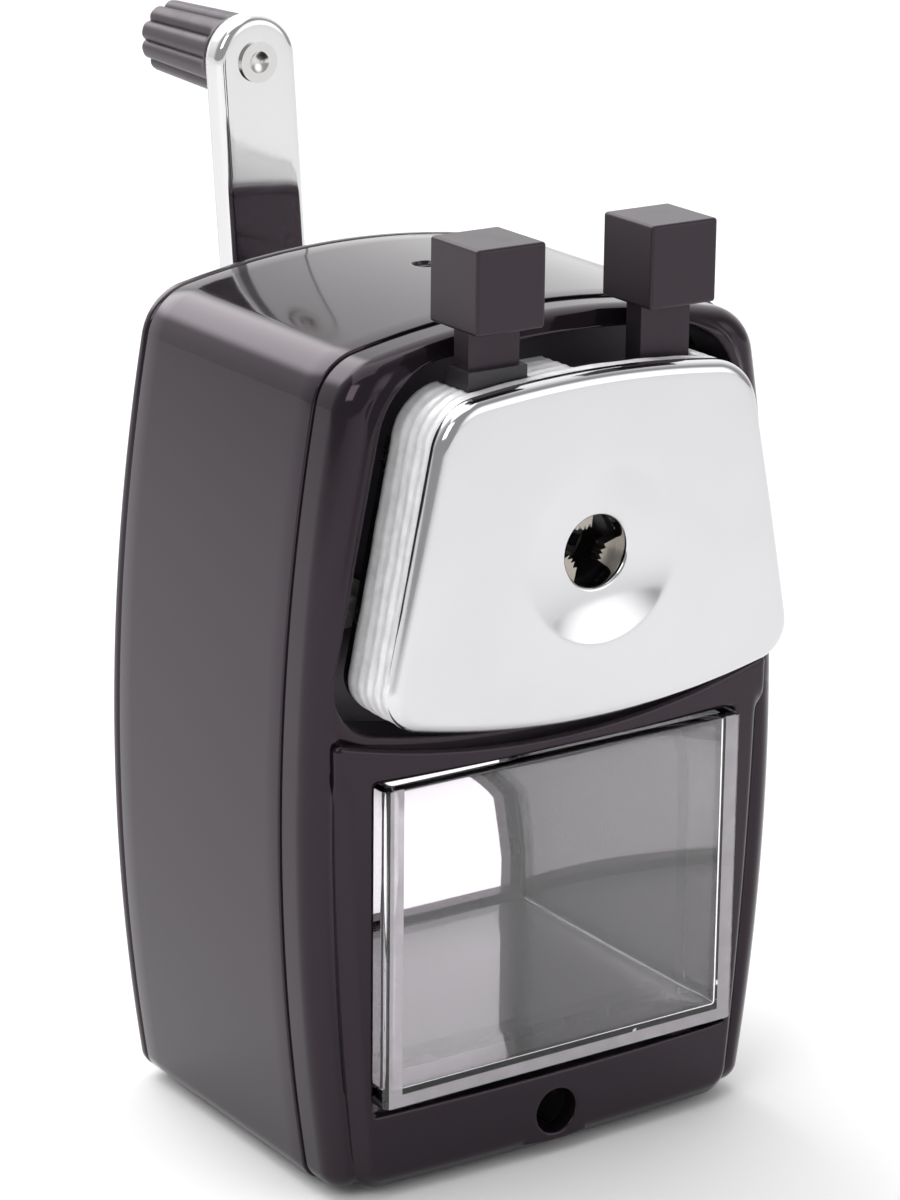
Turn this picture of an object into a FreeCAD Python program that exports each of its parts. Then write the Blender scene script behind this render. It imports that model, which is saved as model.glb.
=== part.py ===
"""Crank pencil sharpener with a sprung feed unit: every piece as its own closed solid.

Units are millimetres. +Z is up, the front faces -Y and the crank is at +Y. The origin is the
centre of the footprint, on the surface that the rubber pad stands on.
"""
import FreeCAD, Part
import math
import os

# ---- driving dimensions -------------------------------------------------------------------
FOOT_HEIGHT = 1.0            # how far the rubber pad lifts the body
BASE_HALF = 34.3             # half width of the body at its foot
WAIST_HALF = 38.4            # half width where the sides bow out most
WAIST_Z = 56.0
SHOULDER_HALF = 32.2         # half width where side and crown would meet
SHOULDER_Z = 113.4
BODY_TOP = 117.6
SHOULDER_RADIUS = 8.0
SOLE_RADIUS = 3.5            # rounding of the body's lower long edges
SHELL_FRONT = -17.8
SHELL_REAR = 26.0
SHELL_WALL = 1.2
AXIS_Z = 87.7                # height of the pencil's and the crank's common axis

FRAME_FACE = -24.9           # front of the frame beside the face cover
FRAME_ROLL = 3.6             # radius of the frame's outer rolled edge
BLOCK_EDGE_FACE = -25.8      # front of the drawer surround at its two sides
BLOCK_MID_FACE = -27.3       # and at its middle, because it is slightly crowned
RECESS_GAP = 3.0             # free space round the face cover

DRAWER_HALF = 28.7
DRAWER_FRONT = -28.5
DRAWER_BACK = 22.5
DRAWER_BOTTOM = 13.9
DRAWER_TOP = 58.8
DRAWER_WALL = 2.0
DRAWER_GAP = 0.4

CLAMP_RADIUS = 3.2
CLAMP_Z = 6.5
SCREW_CLEAR = 1.95           # countersink for the hood's screw
SHELL_SCREW_Y = 6.5
BASE_THICKNESS = 1.2
PAD_HALF = 28.8
PAD_FRONT = -15.8
PAD_BACK = 22.0
PAD_CORNER = 6.0

COVER_RIM = -34.2            # front edge of the chromed face cover
COVER_CROWN = 1.0            # how far its middle stands ahead of its rim
COVER_BACK = -23.3
COVER_WALL = 1.4
PENCIL_RADIUS = 4.86
DISH_RADIUS = 12.0
DISH_DEPTH = 2.1

GRIP_X = 13.4                # centre of each finger grip, to each side
GRIP_WIDTH = 10.4
GRIP_DEPTH = 10.7
GRIP_BOTTOM = 118.2
GRIP_TOP = 129.2
GRIP_Y = -27.45
POST_WIDTH = 7.8
POST_DEPTH = 3.2
POST_PLAY = 0.6              # free space round a grip's post
PLATE_FRONT = -26.1          # chuck body's plate
PLATE_BACK = -23.6
LEVER_FRONT = -28.9          # lever ring, between the plate and the jaws
LEVER_BACK = -26.4
LEVER_BORE = 6.0

ROD_X = 26.0
ROD_Z = 80.0
ROD_RADIUS = 1.5
ROD_END = 21.6
CLIP_FRONT = 19.9
CLIP_THICKNESS = 0.7
SPRING_FRONT = -9.7
BACK_PLATE_END = -21.6

BULKHEAD_FRONT = -13.6
BULKHEAD_BACK = -11.6
HOUSING_RADIUS = 21.5
HOUSING_BORE = 19.5
REAR_COVER_FRONT = 23.0
REAR_COVER_BACK = 25.4
CAP_BACK = 41.0
BEARING_FRONT = 33.0
WINDOW_HALF = 25.6           # rear window behind the drawer
WINDOW_BOTTOM = 16.4
WINDOW_TOP = 56.4
LUG_X = 22.9                 # housing screws, each side of and above and below the axis
LUG_RISE = 16.1

GEAR_MODULE = 0.95
RING_TEETH = 34
PINION_TEETH = 12
PINION_Y = -9.6
CUTTER_RADIUS = 6.0
CONE_TIP_Y = 14.0            # where the sharpened point ends
CUTTER_START = 6.1           # along the cutter's own axis, from the pinion's middle
CUTTER_END = 26.0
COLLAR_RADIUS = 2.6
AXLE_RADIUS = 1.2
SHAFT_RADIUS = 3.0
THREAD_RADIUS = 2.4
RUN_PLAY = 0.06              # radial play of a turning or sliding fit

JAW_TIP_ANGLES = (95.0, 215.0, 335.0)   # seen from the front, anticlockwise from +X
JAW_PIN_LEAD = 55.0                     # each jaw's pin stands this far past its tip
JAW_PIN_RING = 12.2
JAW_PIN_RADIUS = 1.1
JAW_FRONT = -31.2
JAW_BACK = -29.2

ARM_FRONT = 44.0
ARM_HALF = 6.4
ARM_DEPTH = 3.4
ARM_WEB = 1.4
HANDLE_X = -3.6              # the crank rests leaning a little to one side
HANDLE_Z = 139.4
KNOB_FRONT = 47.9
KNOB_BACK = 68.0
KNOB_RADIUS = 6.0
PIN_RADIUS = 1.9             # the rivet that the knob turns on

# ---- derived values -----------------------------------------------------------------------
CENTRE_DISTANCE = GEAR_MODULE * (RING_TEETH - PINION_TEETH) / 2.0
CUTTER_SLOPE = (CENTRE_DISTANCE - CUTTER_RADIUS) / (CONE_TIP_Y - PINION_Y)
CUTTER_TILT = math.atan(CUTTER_SLOPE)
BASE_TOP = FOOT_HEIGHT + BASE_THICKNESS
BASE_SCREWS = [(x, y) for x in (-18, 18) for y in (-8, 17)]
LUGS = [(x, AXIS_Z + z) for x in (-LUG_X, LUG_X) for z in (-LUG_RISE, LUG_RISE)]
COVER_SCREWS = ((-22.0, 76.0), (22.0, 76.0), (-20.6, 101.0), (20.6, 101.0))

V = FreeCAD.Vector
Y_AXIS = V(0, 1, 0)
AXIS_POINT = V(0, 0, AXIS_Z)


# ---- shape helpers ------------------------------------------------------------------------
def box(x0, x1, y0, y1, z0, z1):
    """A block between two opposite corners."""
    return Part.makeBox(x1 - x0, y1 - y0, z1 - z0, V(x0, y0, z0))


def rod_y(radius, x, z, y0, y1):
    """A round bar along Y."""
    return Part.makeCylinder(radius, y1 - y0, V(x, y0, z), Y_AXIS)


def tube_y(outer, inner, x, z, y0, y1):
    """A round tube along Y."""
    return rod_y(outer, x, z, y0, y1).cut(rod_y(inner, x, z, y0, y1))


def post_z(radius, x, y, z0, z1):
    """A round bar along Z."""
    return Part.makeCylinder(radius, z1 - z0, V(x, y, z0))


def fuse(shapes):
    """One solid out of several that touch or overlap."""
    whole = shapes[0].multiFuse(list(shapes[1:])) if len(shapes) > 1 else shapes[0]
    return whole.removeSplitter()


def slab(wire, y0, y1):
    """A closed wire in the XZ plane, made solid from y0 to y1."""
    face = Part.Face(wire)
    face.translate(V(0, y0, 0))
    return face.extrude(V(0, y1 - y0, 0))


def arc(a, b, c):
    """An arc through three points of the XZ plane."""
    return Part.Arc(V(a[0], 0, a[1]), V(b[0], 0, b[1]), V(c[0], 0, c[1])).toShape()


def line(a, b):
    """A straight edge between two points of the XZ plane."""
    return Part.makeLine(V(a[0], 0, a[1]), V(b[0], 0, b[1]))


def polygon(points):
    """A closed polygon in the XZ plane."""
    corners = [V(x, 0, z) for x, z in points]
    return Part.makePolygon(corners + corners[:1])


def along_y(edge):
    """True for an edge that runs along Y."""
    ends = [v.Point for v in edge.Vertexes]
    return len(ends) == 2 and (ends[1] - ends[0]).cross(Y_AXIS).Length < 1e-6


def rounded_wire(edges, offset, radius_at):
    """A closed outline moved outwards by offset, its corners rounded as radius_at(z) says."""
    wire = Part.Wire(edges)
    if offset:
        wire = wire.makeOffset2D(offset, 2)
    bar = slab(wire, 0.0, 10.0)
    corners = [e.Vertexes[0].Point for e in bar.Edges if along_y(e)]
    for corner in corners:
        near = [e for e in bar.Edges if along_y(e)
                and (e.Vertexes[0].Point - corner).cross(Y_AXIS).Length < 1e-3]
        bar = bar.makeFillet(radius_at(corner.z) + offset, near)
    for face in bar.Faces:
        if abs(face.CenterOfMass.y) < 1e-6:
            return face.OuterWire
    raise ValueError("no outline found")


def body_outline(inset=0.0):
    """The body seen from the front: bowed sides, a crowned top and a flat foot."""
    foot = FOOT_HEIGHT
    edges = [
        line((-BASE_HALF, foot), (BASE_HALF, foot)),
        arc((BASE_HALF, foot), (WAIST_HALF, WAIST_Z), (SHOULDER_HALF, SHOULDER_Z)),
        arc((SHOULDER_HALF, SHOULDER_Z), (0, BODY_TOP), (-SHOULDER_HALF, SHOULDER_Z)),
        arc((-SHOULDER_HALF, SHOULDER_Z), (-WAIST_HALF, WAIST_Z), (-BASE_HALF, foot)),
    ]
    least = inset + 0.4
    return rounded_wire(edges, -inset,
                        lambda z: max(least, SHOULDER_RADIUS if z > WAIST_Z else SOLE_RADIUS))


def cover_outline(outset=0.0):
    """The face cover seen from the front: wide foot, narrow top, all corners round."""
    low_half, low_z, low_mid = 32.4, 69.4, 65.2
    high_half, high_z, high_mid = 24.0, 109.8, 111.8
    edges = [
        arc((-low_half, low_z), (0, low_mid), (low_half, low_z)),
        line((low_half, low_z), (high_half, high_z)),
        arc((high_half, high_z), (0, high_mid), (-high_half, high_z)),
        line((-high_half, high_z), (-low_half, low_z)),
    ]
    return rounded_wire(edges, outset, lambda z: 7.5 if z > AXIS_Z else 5.0)


def gear_wire(teeth, root, tip, root_half, tip_half, phase):
    """A toothed outline about the origin; half angles are in degrees."""
    points = []
    for k in range(teeth):
        middle = phase + 360.0 * k / teeth
        for radius, turn in ((root, -root_half), (tip, -tip_half), (tip, tip_half),
                             (root, root_half)):
            a = math.radians(middle + turn)
            points.append((radius * math.cos(a), radius * math.sin(a)))
    return polygon(points)


def coil_y(radius, wire_radius, x, z, y0, y1, turns):
    """A coil spring along Y whose wire stays between y0 and y1."""
    free = y1 - y0 - 2 * wire_radius
    helix = Part.makeHelix(free / turns, free, radius)
    ring = Part.makeCircle(wire_radius, V(radius, 0, 0), V(0, 1, 0))
    coil = Part.Wire(helix).makePipeShell([Part.Wire(ring)], True, True)
    coil.rotate(V(0, 0, 0), V(1, 0, 0), -90)
    coil.translate(V(x, y0 + wire_radius, z))
    return coil


def cutter_local(shape):
    """Carry a shape built along +Z at the origin onto the tilted cutter axis."""
    placed = shape.copy()
    placed.rotate(V(0, 0, 0), V(1, 0, 0), -90 - math.degrees(CUTTER_TILT))
    placed.translate(V(0, PINION_Y, AXIS_Z + CENTRE_DISTANCE))
    return placed


# ---- fixed body ---------------------------------------------------------------------------
def make_body_shell():
    """Sheet-metal hood: two bowed sides and a crowned top, open below, in front and behind."""
    hood = slab(body_outline(), SHELL_FRONT, SHELL_REAR)
    hood = hood.cut(slab(body_outline(SHELL_WALL), SHELL_FRONT - 1, SHELL_REAR + 1))
    hem_inner = 30.8
    hood = hood.cut(box(-hem_inner, hem_inner, SHELL_FRONT - 1, SHELL_REAR + 1, 0, 10))
    return hood.cut(post_z(SCREW_CLEAR, 0, SHELL_SCREW_Y, BODY_TOP - 5, BODY_TOP + 1))


def make_shell_screw():
    """Countersunk screw that ties the hood to the cutter housing."""
    head = post_z(1.9, 0, SHELL_SCREW_Y, BODY_TOP - 1.4, BODY_TOP - 0.4)
    slot = box(-1.9, 1.9, SHELL_SCREW_Y - 0.25, SHELL_SCREW_Y + 0.25, BODY_TOP - 0.9, BODY_TOP)
    shank = post_z(1.2, 0, SHELL_SCREW_Y, BODY_TOP - 8.4, BODY_TOP - 1.4)
    return fuse([head.cut(slot), shank])


def crowned_front(mid_y, side_y, half, back_y):
    """A tall block whose front is an arc in plan, from z 0 to above the body."""
    plan = Part.Wire([
        Part.Arc(V(-half, side_y, 0), V(0, mid_y, 0), V(half, side_y, 0)).toShape(),
        Part.makeLine(V(half, side_y, 0), V(half, back_y, 0)),
        Part.makeLine(V(half, back_y, 0), V(-half, back_y, 0)),
        Part.makeLine(V(-half, back_y, 0), V(-half, side_y, 0)),
    ])
    return Part.Face(plan).extrude(V(0, 0, BODY_TOP + 10))


def make_front_frame():
    """Moulded front: rolled rim, recess for the face cover, drawer surround and clamp hole."""
    rim = slab(body_outline(0.35), FRAME_FACE, SHELL_FRONT)
    front_edges = [e for e in rim.Edges
                   if all(abs(v.Point.y - FRAME_FACE) < 1e-6 for v in e.Vertexes)]
    rim = rim.makeFillet(FRAME_ROLL, front_edges)
    ledge_half, ledge_end, ledge_mid = 34.6, 65.4, 60.9
    middle_half, foot_half, foot_z = 33.4, 30.4, FOOT_HEIGHT + 0.3
    block_wire = Part.Wire([
        arc((-ledge_half, ledge_end), (0, ledge_mid), (ledge_half, ledge_end)),
        arc((ledge_half, ledge_end), (middle_half, ledge_end / 2), (foot_half, foot_z)),
        line((foot_half, foot_z), (-foot_half, foot_z)),
        arc((-foot_half, foot_z), (-middle_half, ledge_end / 2), (-ledge_half, ledge_end)),
    ])
    block = slab(block_wire, BLOCK_MID_FACE - 1, SHELL_FRONT - 2)
    block = block.makeFillet(4.0, [e for e in block.Edges if along_y(e) and e.BoundBox.ZMax < 10])
    block = block.common(crowned_front(BLOCK_MID_FACE, BLOCK_EDGE_FACE, 36.0, SHELL_FRONT))
    block = block.makeFillet(0.7, [e for e in block.Edges
                                   if e.BoundBox.YMax < BLOCK_EDGE_FACE + 0.6])
    lip = slab(cover_outline(RECESS_GAP + 1.3), FRAME_FACE - 0.5, SHELL_FRONT - 2)
    lip = lip.cut(box(-40, 40, -40, 0, 0, 72))
    tongue_inset = SHELL_WALL + 0.25
    tongue = slab(body_outline(tongue_inset), SHELL_FRONT - 1, SHELL_FRONT + 3.8)
    frame = fuse([rim, block, lip, tongue])
    frame = frame.cut(slab(body_outline(tongue_inset + 1.9), SHELL_FRONT + 0.6, 0))
    opening = box(-DRAWER_HALF - DRAWER_GAP, DRAWER_HALF + DRAWER_GAP, -40, 0,
                  DRAWER_BOTTOM - 1.5, DRAWER_TOP + DRAWER_GAP)
    recess = slab(cover_outline(RECESS_GAP), -40, 0)
    underside = box(-31.0, 31.0, -24.4, 0, FOOT_HEIGHT + 2.0, DRAWER_BOTTOM - 3.5)
    clamp = rod_y(CLAMP_RADIUS, 0, CLAMP_Z, -40, 0)
    socket_room = rod_y(4.5, 0, CLAMP_Z, -24.4, 0)
    for pocket in (opening, recess, underside, clamp, socket_room):
        frame = frame.cut(pocket)
    return frame


def make_clamp_socket():
    """Steel sleeve behind the clamp hole, for the rod of a table clamp."""
    return tube_y(4.2, CLAMP_RADIUS, 0, CLAMP_Z, -24.4, 6.0)


def make_base_plate():
    """Flat bottom plate between the hood's hems."""
    plate = box(-30.3, 30.3, -17.2, REAR_COVER_FRONT - 0.3, FOOT_HEIGHT, BASE_TOP)
    for x, y in BASE_SCREWS:
        plate = plate.cut(post_z(1.4, x, y, 0, 10))
    return plate


def make_rubber_pad():
    """Non-slip rubber pad glued under the base plate, open round the screw heads."""
    pad = box(-PAD_HALF, PAD_HALF, PAD_FRONT, PAD_BACK, 0, FOOT_HEIGHT)
    upright = [e for e in pad.Edges if e.BoundBox.ZLength > FOOT_HEIGHT / 2]
    pad = pad.makeFillet(PAD_CORNER, upright)
    lower = [e for e in pad.Edges if e.BoundBox.ZMax < FOOT_HEIGHT / 2]
    pad = pad.makeFillet(0.4, lower)
    for x, y in BASE_SCREWS:
        pad = pad.cut(post_z(3.2, x, y, 0, FOOT_HEIGHT))
    return pad


def make_base_screws():
    """Four screws up through the base plate into the deck's bosses."""
    screws = []
    for x, y in BASE_SCREWS:
        head = post_z(2.3, x, y, FOOT_HEIGHT - 0.8, FOOT_HEIGHT)
        screws.append(fuse([head, post_z(1.25, x, y, FOOT_HEIGHT, FOOT_HEIGHT + 8)]))
    return Part.makeCompound(screws)


def make_drawer_deck():
    """Raised floor that the drawer runs on, with side walls and screw bosses below."""
    front, back = -13.4, REAR_COVER_FRONT - 0.3
    top = DRAWER_BOTTOM - 0.3
    under = top - 2.0
    shapes = [box(-33.4, 33.4, front, back, under, top)]
    for side in (-1, 1):
        edges = sorted((side * 28.0, side * 30.0))
        shapes.append(box(edges[0], edges[1], front, back, BASE_TOP, under))
    for x, y in BASE_SCREWS:
        shapes.append(post_z(3.2, x, y, BASE_TOP, under))
    deck = fuse(shapes)
    for x, y in BASE_SCREWS:
        deck = deck.cut(post_z(1.27, x, y, 0, under - 0.5))
    return deck


def make_bulkhead():
    """Inner wall behind the feed unit, with two side plates that stand on the deck."""
    wall = slab(body_outline(SHELL_WALL + 0.5), BULKHEAD_FRONT, BULKHEAD_BACK)
    wall = wall.cut(box(-60, 60, -40, 40, 0, DRAWER_TOP + 2.2))
    shapes = [wall]
    for side in (-1, 1):
        edges = sorted((side * 30.2, side * 31.8))
        shapes.append(box(edges[0], edges[1], BULKHEAD_FRONT, 22.0, DRAWER_BOTTOM - 0.3, 64.0))
    bulkhead = fuse(shapes)
    bulkhead = bulkhead.cut(rod_y(18.3, 0, AXIS_Z, -40, 0))
    for side in (-1, 1):
        bulkhead = bulkhead.cut(rod_y(2.5, side * ROD_X, ROD_Z, -40, 0))
    return bulkhead


def make_guide_sleeves():
    """Two flanged plastic bushes that the guide rods slide in."""
    sleeves = []
    for side in (-1, 1):
        x = side * ROD_X
        body = rod_y(2.48, x, ROD_Z, BULKHEAD_FRONT, -9.8)
        flange = rod_y(3.4, x, ROD_Z, BULKHEAD_FRONT - 0.9, BULKHEAD_FRONT)
        bore = rod_y(ROD_RADIUS + RUN_PLAY, x, ROD_Z, -40, 0)
        sleeves.append(fuse([body, flange]).cut(bore))
    return Part.makeCompound(sleeves)


def make_cutter_housing():
    """Drum round the cutter, open below so that the shavings fall into the drawer."""
    back = REAR_COVER_FRONT
    shapes = [rod_y(HOUSING_RADIUS, 0, AXIS_Z, BULKHEAD_BACK, back)]
    for x, z in LUGS:
        shapes.append(rod_y(2.9, x, z, 10.0, back))
        inner = 17.0
        x0, x1 = sorted((math.copysign(inner - 3, x), x))
        shapes.append(box(x0, x1, 10.0, back, z - 1.5, z + 1.5))
    shapes.append(post_z(3.0, 0, SHELL_SCREW_Y, AXIS_Z + 20, BODY_TOP - SHELL_WALL - 0.3))
    drum = fuse(shapes)
    drum = drum.cut(rod_y(HOUSING_BORE, 0, AXIS_Z, -40, 40))
    drum = drum.cut(box(-13, 13, -6.0, 20.0, 60, AXIS_Z - 10))
    drum = drum.cut(post_z(1.22, 0, SHELL_SCREW_Y, AXIS_Z + 21, BODY_TOP + 2))
    for x, z in LUGS:
        drum = drum.cut(rod_y(1.22, x, z, 14.0, 40))
    return drum


def make_ring_gear():
    """Fixed internal gear that the cutter's pinion rolls in."""
    pitch = GEAR_MODULE * RING_TEETH / 2.0
    root, tip = pitch + 1.25, pitch - 0.65
    step = 360.0 / RING_TEETH
    ring = rod_y(HOUSING_BORE - 0.03, 0, AXIS_Z, BULKHEAD_BACK + 0.2, -7.8)
    gaps = gear_wire(RING_TEETH, tip, root, step * 0.36, step * 0.22, 90.0)
    hole = slab(gaps, BULKHEAD_BACK - 1, -7.0)
    hole.translate(AXIS_POINT)
    return ring.cut(hole)


def make_rear_cover():
    """Back plate with a window behind the drawer and a round port for the cutter unit."""
    plate = slab(body_outline(SHELL_WALL + 0.2), REAR_COVER_FRONT, REAR_COVER_BACK)
    plate = plate.cut(box(-WINDOW_HALF, WINDOW_HALF, 0, 40, WINDOW_BOTTOM, WINDOW_TOP))
    plate = plate.cut(rod_y(19.0, 0, AXIS_Z, 0, 40))
    for x, z in LUGS:
        plate = plate.cut(rod_y(1.4, x, z, 0, 40))
    return plate


def make_housing_screws():
    """Four screws through the rear cover into the cutter housing's lugs."""
    screws = []
    for x, z in LUGS:
        head = rod_y(2.5, x, z, REAR_COVER_BACK, REAR_COVER_BACK + 1.5)
        across = box(x - 2.0, x + 2.0, REAR_COVER_BACK + 0.8, 40, z - 0.3, z + 0.3)
        upright = box(x - 0.3, x + 0.3, REAR_COVER_BACK + 0.8, 40, z - 2.0, z + 2.0)
        shank = rod_y(1.2, x, z, 14.5, REAR_COVER_BACK)
        screws.append(fuse([head.cut(across).cut(upright), shank]))
    return Part.makeCompound(screws)


def make_rear_cap():
    """Round cap that carries the crank's bearing and closes the port with a spigot."""
    cup = rod_y(20.0, 0, AXIS_Z, REAR_COVER_BACK, CAP_BACK)
    rim = [e for e in cup.Edges
           if abs(e.BoundBox.YMax - CAP_BACK) < 1e-6 and e.BoundBox.YLength < 1e-6]
    cup = cup.makeFillet(3.0, rim)
    flange = rod_y(23.0, 0, AXIS_Z, REAR_COVER_BACK, REAR_COVER_BACK + 1.8)
    spigot = rod_y(18.9, 0, AXIS_Z, REAR_COVER_FRONT, REAR_COVER_BACK)
    cap = fuse([cup, flange, spigot])
    cap = cap.cut(rod_y(16.9, 0, AXIS_Z, 0, CAP_BACK - 2.6))
    hub = rod_y(8.0, 0, AXIS_Z, BEARING_FRONT, CAP_BACK - 1.0)
    return fuse([cap, hub]).cut(rod_y(5.5, 0, AXIS_Z, 0, 60))


def make_rear_bushing():
    """Flanged bearing bush for the crank shaft."""
    body = rod_y(5.47, 0, AXIS_Z, BEARING_FRONT, CAP_BACK)
    flange = rod_y(7.0, 0, AXIS_Z, CAP_BACK, CAP_BACK + 1.2)
    return fuse([body, flange]).cut(rod_y(SHAFT_RADIUS + RUN_PLAY, 0, AXIS_Z, 0, 60))


# ---- drawer -------------------------------------------------------------------------------
def make_drawer():
    """Clear shavings drawer, open at the top, with a gate mark on its floor."""
    tray = box(-DRAWER_HALF, DRAWER_HALF, DRAWER_FRONT, DRAWER_BACK, DRAWER_BOTTOM, DRAWER_TOP)
    upright = [e for e in tray.Edges if e.BoundBox.ZLength > 10]
    tray = tray.makeFillet(0.8, upright)
    inner = DRAWER_HALF - DRAWER_WALL
    room = box(-inner, inner, DRAWER_FRONT + DRAWER_WALL, DRAWER_BACK - DRAWER_WALL,
               DRAWER_BOTTOM + DRAWER_WALL, DRAWER_TOP + 1)
    room = room.makeFillet(0.8, [e for e in room.Edges if e.BoundBox.ZLength > 10])
    gate = post_z(1.8, -17.5, -6.0, DRAWER_BOTTOM + DRAWER_WALL - 0.1,
                  DRAWER_BOTTOM + DRAWER_WALL + 0.5)
    return fuse([tray.cut(room), gate])


# ---- feed unit ----------------------------------------------------------------------------
def crowned_cover(outset, rim_y, back_y):
    """The cover's bulk: its outline closed in front by a shallow dome."""
    bulk = slab(cover_outline(outset), rim_y - COVER_CROWN, back_y)
    reach = 38.0
    dome_radius = reach * reach / (2 * COVER_CROWN)
    dome = Part.makeSphere(dome_radius, V(0, rim_y - COVER_CROWN + dome_radius, AXIS_Z))
    return bulk.common(dome)


def make_face_cover():
    """Chromed cover: domed face, pencil dish, deep side wall and two notches in its top."""
    cover = crowned_cover(0.0, COVER_RIM, COVER_BACK)
    face_edges = [e for e in cover.Edges if e.BoundBox.YMax < COVER_RIM + 1.2]
    cover = cover.makeFillet(1.6, face_edges)
    cover = cover.cut(crowned_cover(-COVER_WALL, COVER_RIM + COVER_WALL, 0.0))
    face_y = COVER_RIM - COVER_CROWN
    backing = rod_y(DISH_RADIUS + 1.6, 0, AXIS_Z, COVER_RIM + 0.4, -31.5)
    bosses = [rod_y(2.4, x, z, COVER_RIM + 0.9, -26.2) for x, z in COVER_SCREWS]
    cover = fuse([cover, backing] + bosses)
    bowl = (DISH_RADIUS ** 2 + DISH_DEPTH ** 2) / (2 * DISH_DEPTH)
    cover = cover.cut(Part.makeSphere(bowl, V(0, face_y + DISH_DEPTH - bowl, AXIS_Z)))
    cover = cover.cut(rod_y(PENCIL_RADIUS, 0, AXIS_Z, -60, 0))
    slot_half = POST_WIDTH / 2 + POST_PLAY
    collar_half = slot_half + 0.2
    for x0, x1 in ((-2.0, GRIP_X + slot_half), (-GRIP_X - collar_half, -GRIP_X + collar_half)):
        cover = cover.cut(box(x0, x1, -30.4, 0, 105.0, 130.0))
    for x, z in COVER_SCREWS:
        cover = cover.cut(rod_y(0.92, x, z, -31.5, 0))
    return cover


def make_chuck_base():
    """Moulded chuck body: plate, hub for the lever ring, and the collar of the fixed grip."""
    plate = slab(cover_outline(-COVER_WALL - 0.25), PLATE_FRONT, PLATE_BACK)
    plate = plate.cut(box(-8.0, 40, -40, 0, 105.4, 130))
    hub = rod_y(LEVER_BORE - RUN_PLAY, 0, AXIS_Z, -29.1, PLATE_FRONT)
    half = POST_WIDTH / 2 + POST_PLAY
    collar = box(-GRIP_X - half, -GRIP_X + half, -30.0, -25.0, 101.0, 113.0)
    base = fuse([plate, hub, collar])
    base = base.cut(rod_y(4.95, 0, AXIS_Z, -60, 0))
    base = base.cut(grip_post(-GRIP_X, 104.0, 130.0))
    for x, z in COVER_SCREWS:
        base = base.cut(rod_y(1.1, x, z, -40, 0))
    for x, z in jaw_pin_points():
        base = base.cut(rod_y(JAW_PIN_RADIUS, x, z, -40, 0))
    return base


def grip_post(x, z0, z1):
    """The flat stem under a finger grip."""
    return box(x - POST_WIDTH / 2, x + POST_WIDTH / 2, GRIP_Y - POST_DEPTH / 2,
               GRIP_Y + POST_DEPTH / 2, z0, z1)


def grip_block(x):
    """The square finger grip with softened edges."""
    block = box(x - GRIP_WIDTH / 2, x + GRIP_WIDTH / 2, GRIP_Y - GRIP_DEPTH / 2,
                GRIP_Y + GRIP_DEPTH / 2, GRIP_BOTTOM, GRIP_TOP)
    return block.makeFillet(0.45, block.Edges)


def make_fixed_grip():
    """Left finger grip, pressed into the collar of the chuck body."""
    return fuse([grip_block(-GRIP_X), grip_post(-GRIP_X, 104.0, GRIP_BOTTOM + 1)])


def make_thumb_lever():
    """Right finger grip on its lever ring, which turns round the chuck's hub."""
    ring = rod_y(9.2, 0, AXIS_Z, LEVER_FRONT, LEVER_BACK)
    foot = [(3.0, AXIS_Z + 8.3), (7.6, AXIS_Z + 4.5), (15.2, 103.0), (17.3, 106.0),
            (17.3, 109.0), (9.5, 109.0), (9.5, 104.5)]
    arm = slab(polygon(foot), LEVER_FRONT, LEVER_BACK)
    lever = fuse([ring, arm, grip_post(GRIP_X, 106.0, GRIP_BOTTOM + 1), grip_block(GRIP_X)])
    return lever.cut(rod_y(LEVER_BORE, 0, AXIS_Z, -60, 0))


def jaw_pin_points():
    """Where the three jaw pins stand."""
    points = []
    for tip in JAW_TIP_ANGLES:
        a = math.radians(tip + JAW_PIN_LEAD)
        points.append((JAW_PIN_RING * math.cos(a), AXIS_Z + JAW_PIN_RING * math.sin(a)))
    return points


def make_jaw_pins():
    """Three pins that the jaws swing on."""
    return Part.makeCompound([rod_y(JAW_PIN_RADIUS, x, z, JAW_FRONT, PLATE_BACK)
                              for x, z in jaw_pin_points()])


def make_jaw(tip_angle):
    """Curved steel jaw with a toothed tip, for a tip at the given angle."""
    lead = math.radians(JAW_PIN_LEAD)
    px, pz = JAW_PIN_RING * math.cos(lead), JAW_PIN_RING * math.sin(lead)
    profile = [(2.5, -1.0), (3.1, -0.75), (2.4, -0.25), (3.0, 0.0), (2.4, 0.3), (3.1, 0.8),
               (2.6, 1.2), (4.6, 3.0), (px - 2.6, pz - 0.6), (px, pz), (px + 2.6, pz - 0.4),
               (9.6, 1.4), (7.2, -2.0)]
    blade = slab(polygon(profile), JAW_FRONT, JAW_BACK)
    jaw = fuse([blade, rod_y(2.6, px, pz, JAW_FRONT, JAW_BACK)])
    jaw = jaw.cut(rod_y(JAW_PIN_RADIUS + 0.05, px, pz, -60, 0))
    jaw.rotate(V(0, 0, 0), V(0, -1, 0), tip_angle)
    jaw.translate(AXIS_POINT)
    return jaw


def make_chuck_back_plate():
    """Steel plate behind the chuck that the guide rods are riveted to."""
    plate = slab(cover_outline(-0.6), COVER_BACK, BACK_PLATE_END)
    plate = plate.cut(box(-40, 40, -40, 0, 104.0, 130))
    plate = plate.cut(rod_y(6.5, 0, AXIS_Z, -60, 0))
    for side in (-1, 1):
        plate = plate.cut(rod_y(ROD_RADIUS, side * ROD_X, ROD_Z, -60, 0))
    for x, z in COVER_SCREWS:
        plate = plate.cut(rod_y(1.1, x, z, -60, 0))
    return plate


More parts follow.
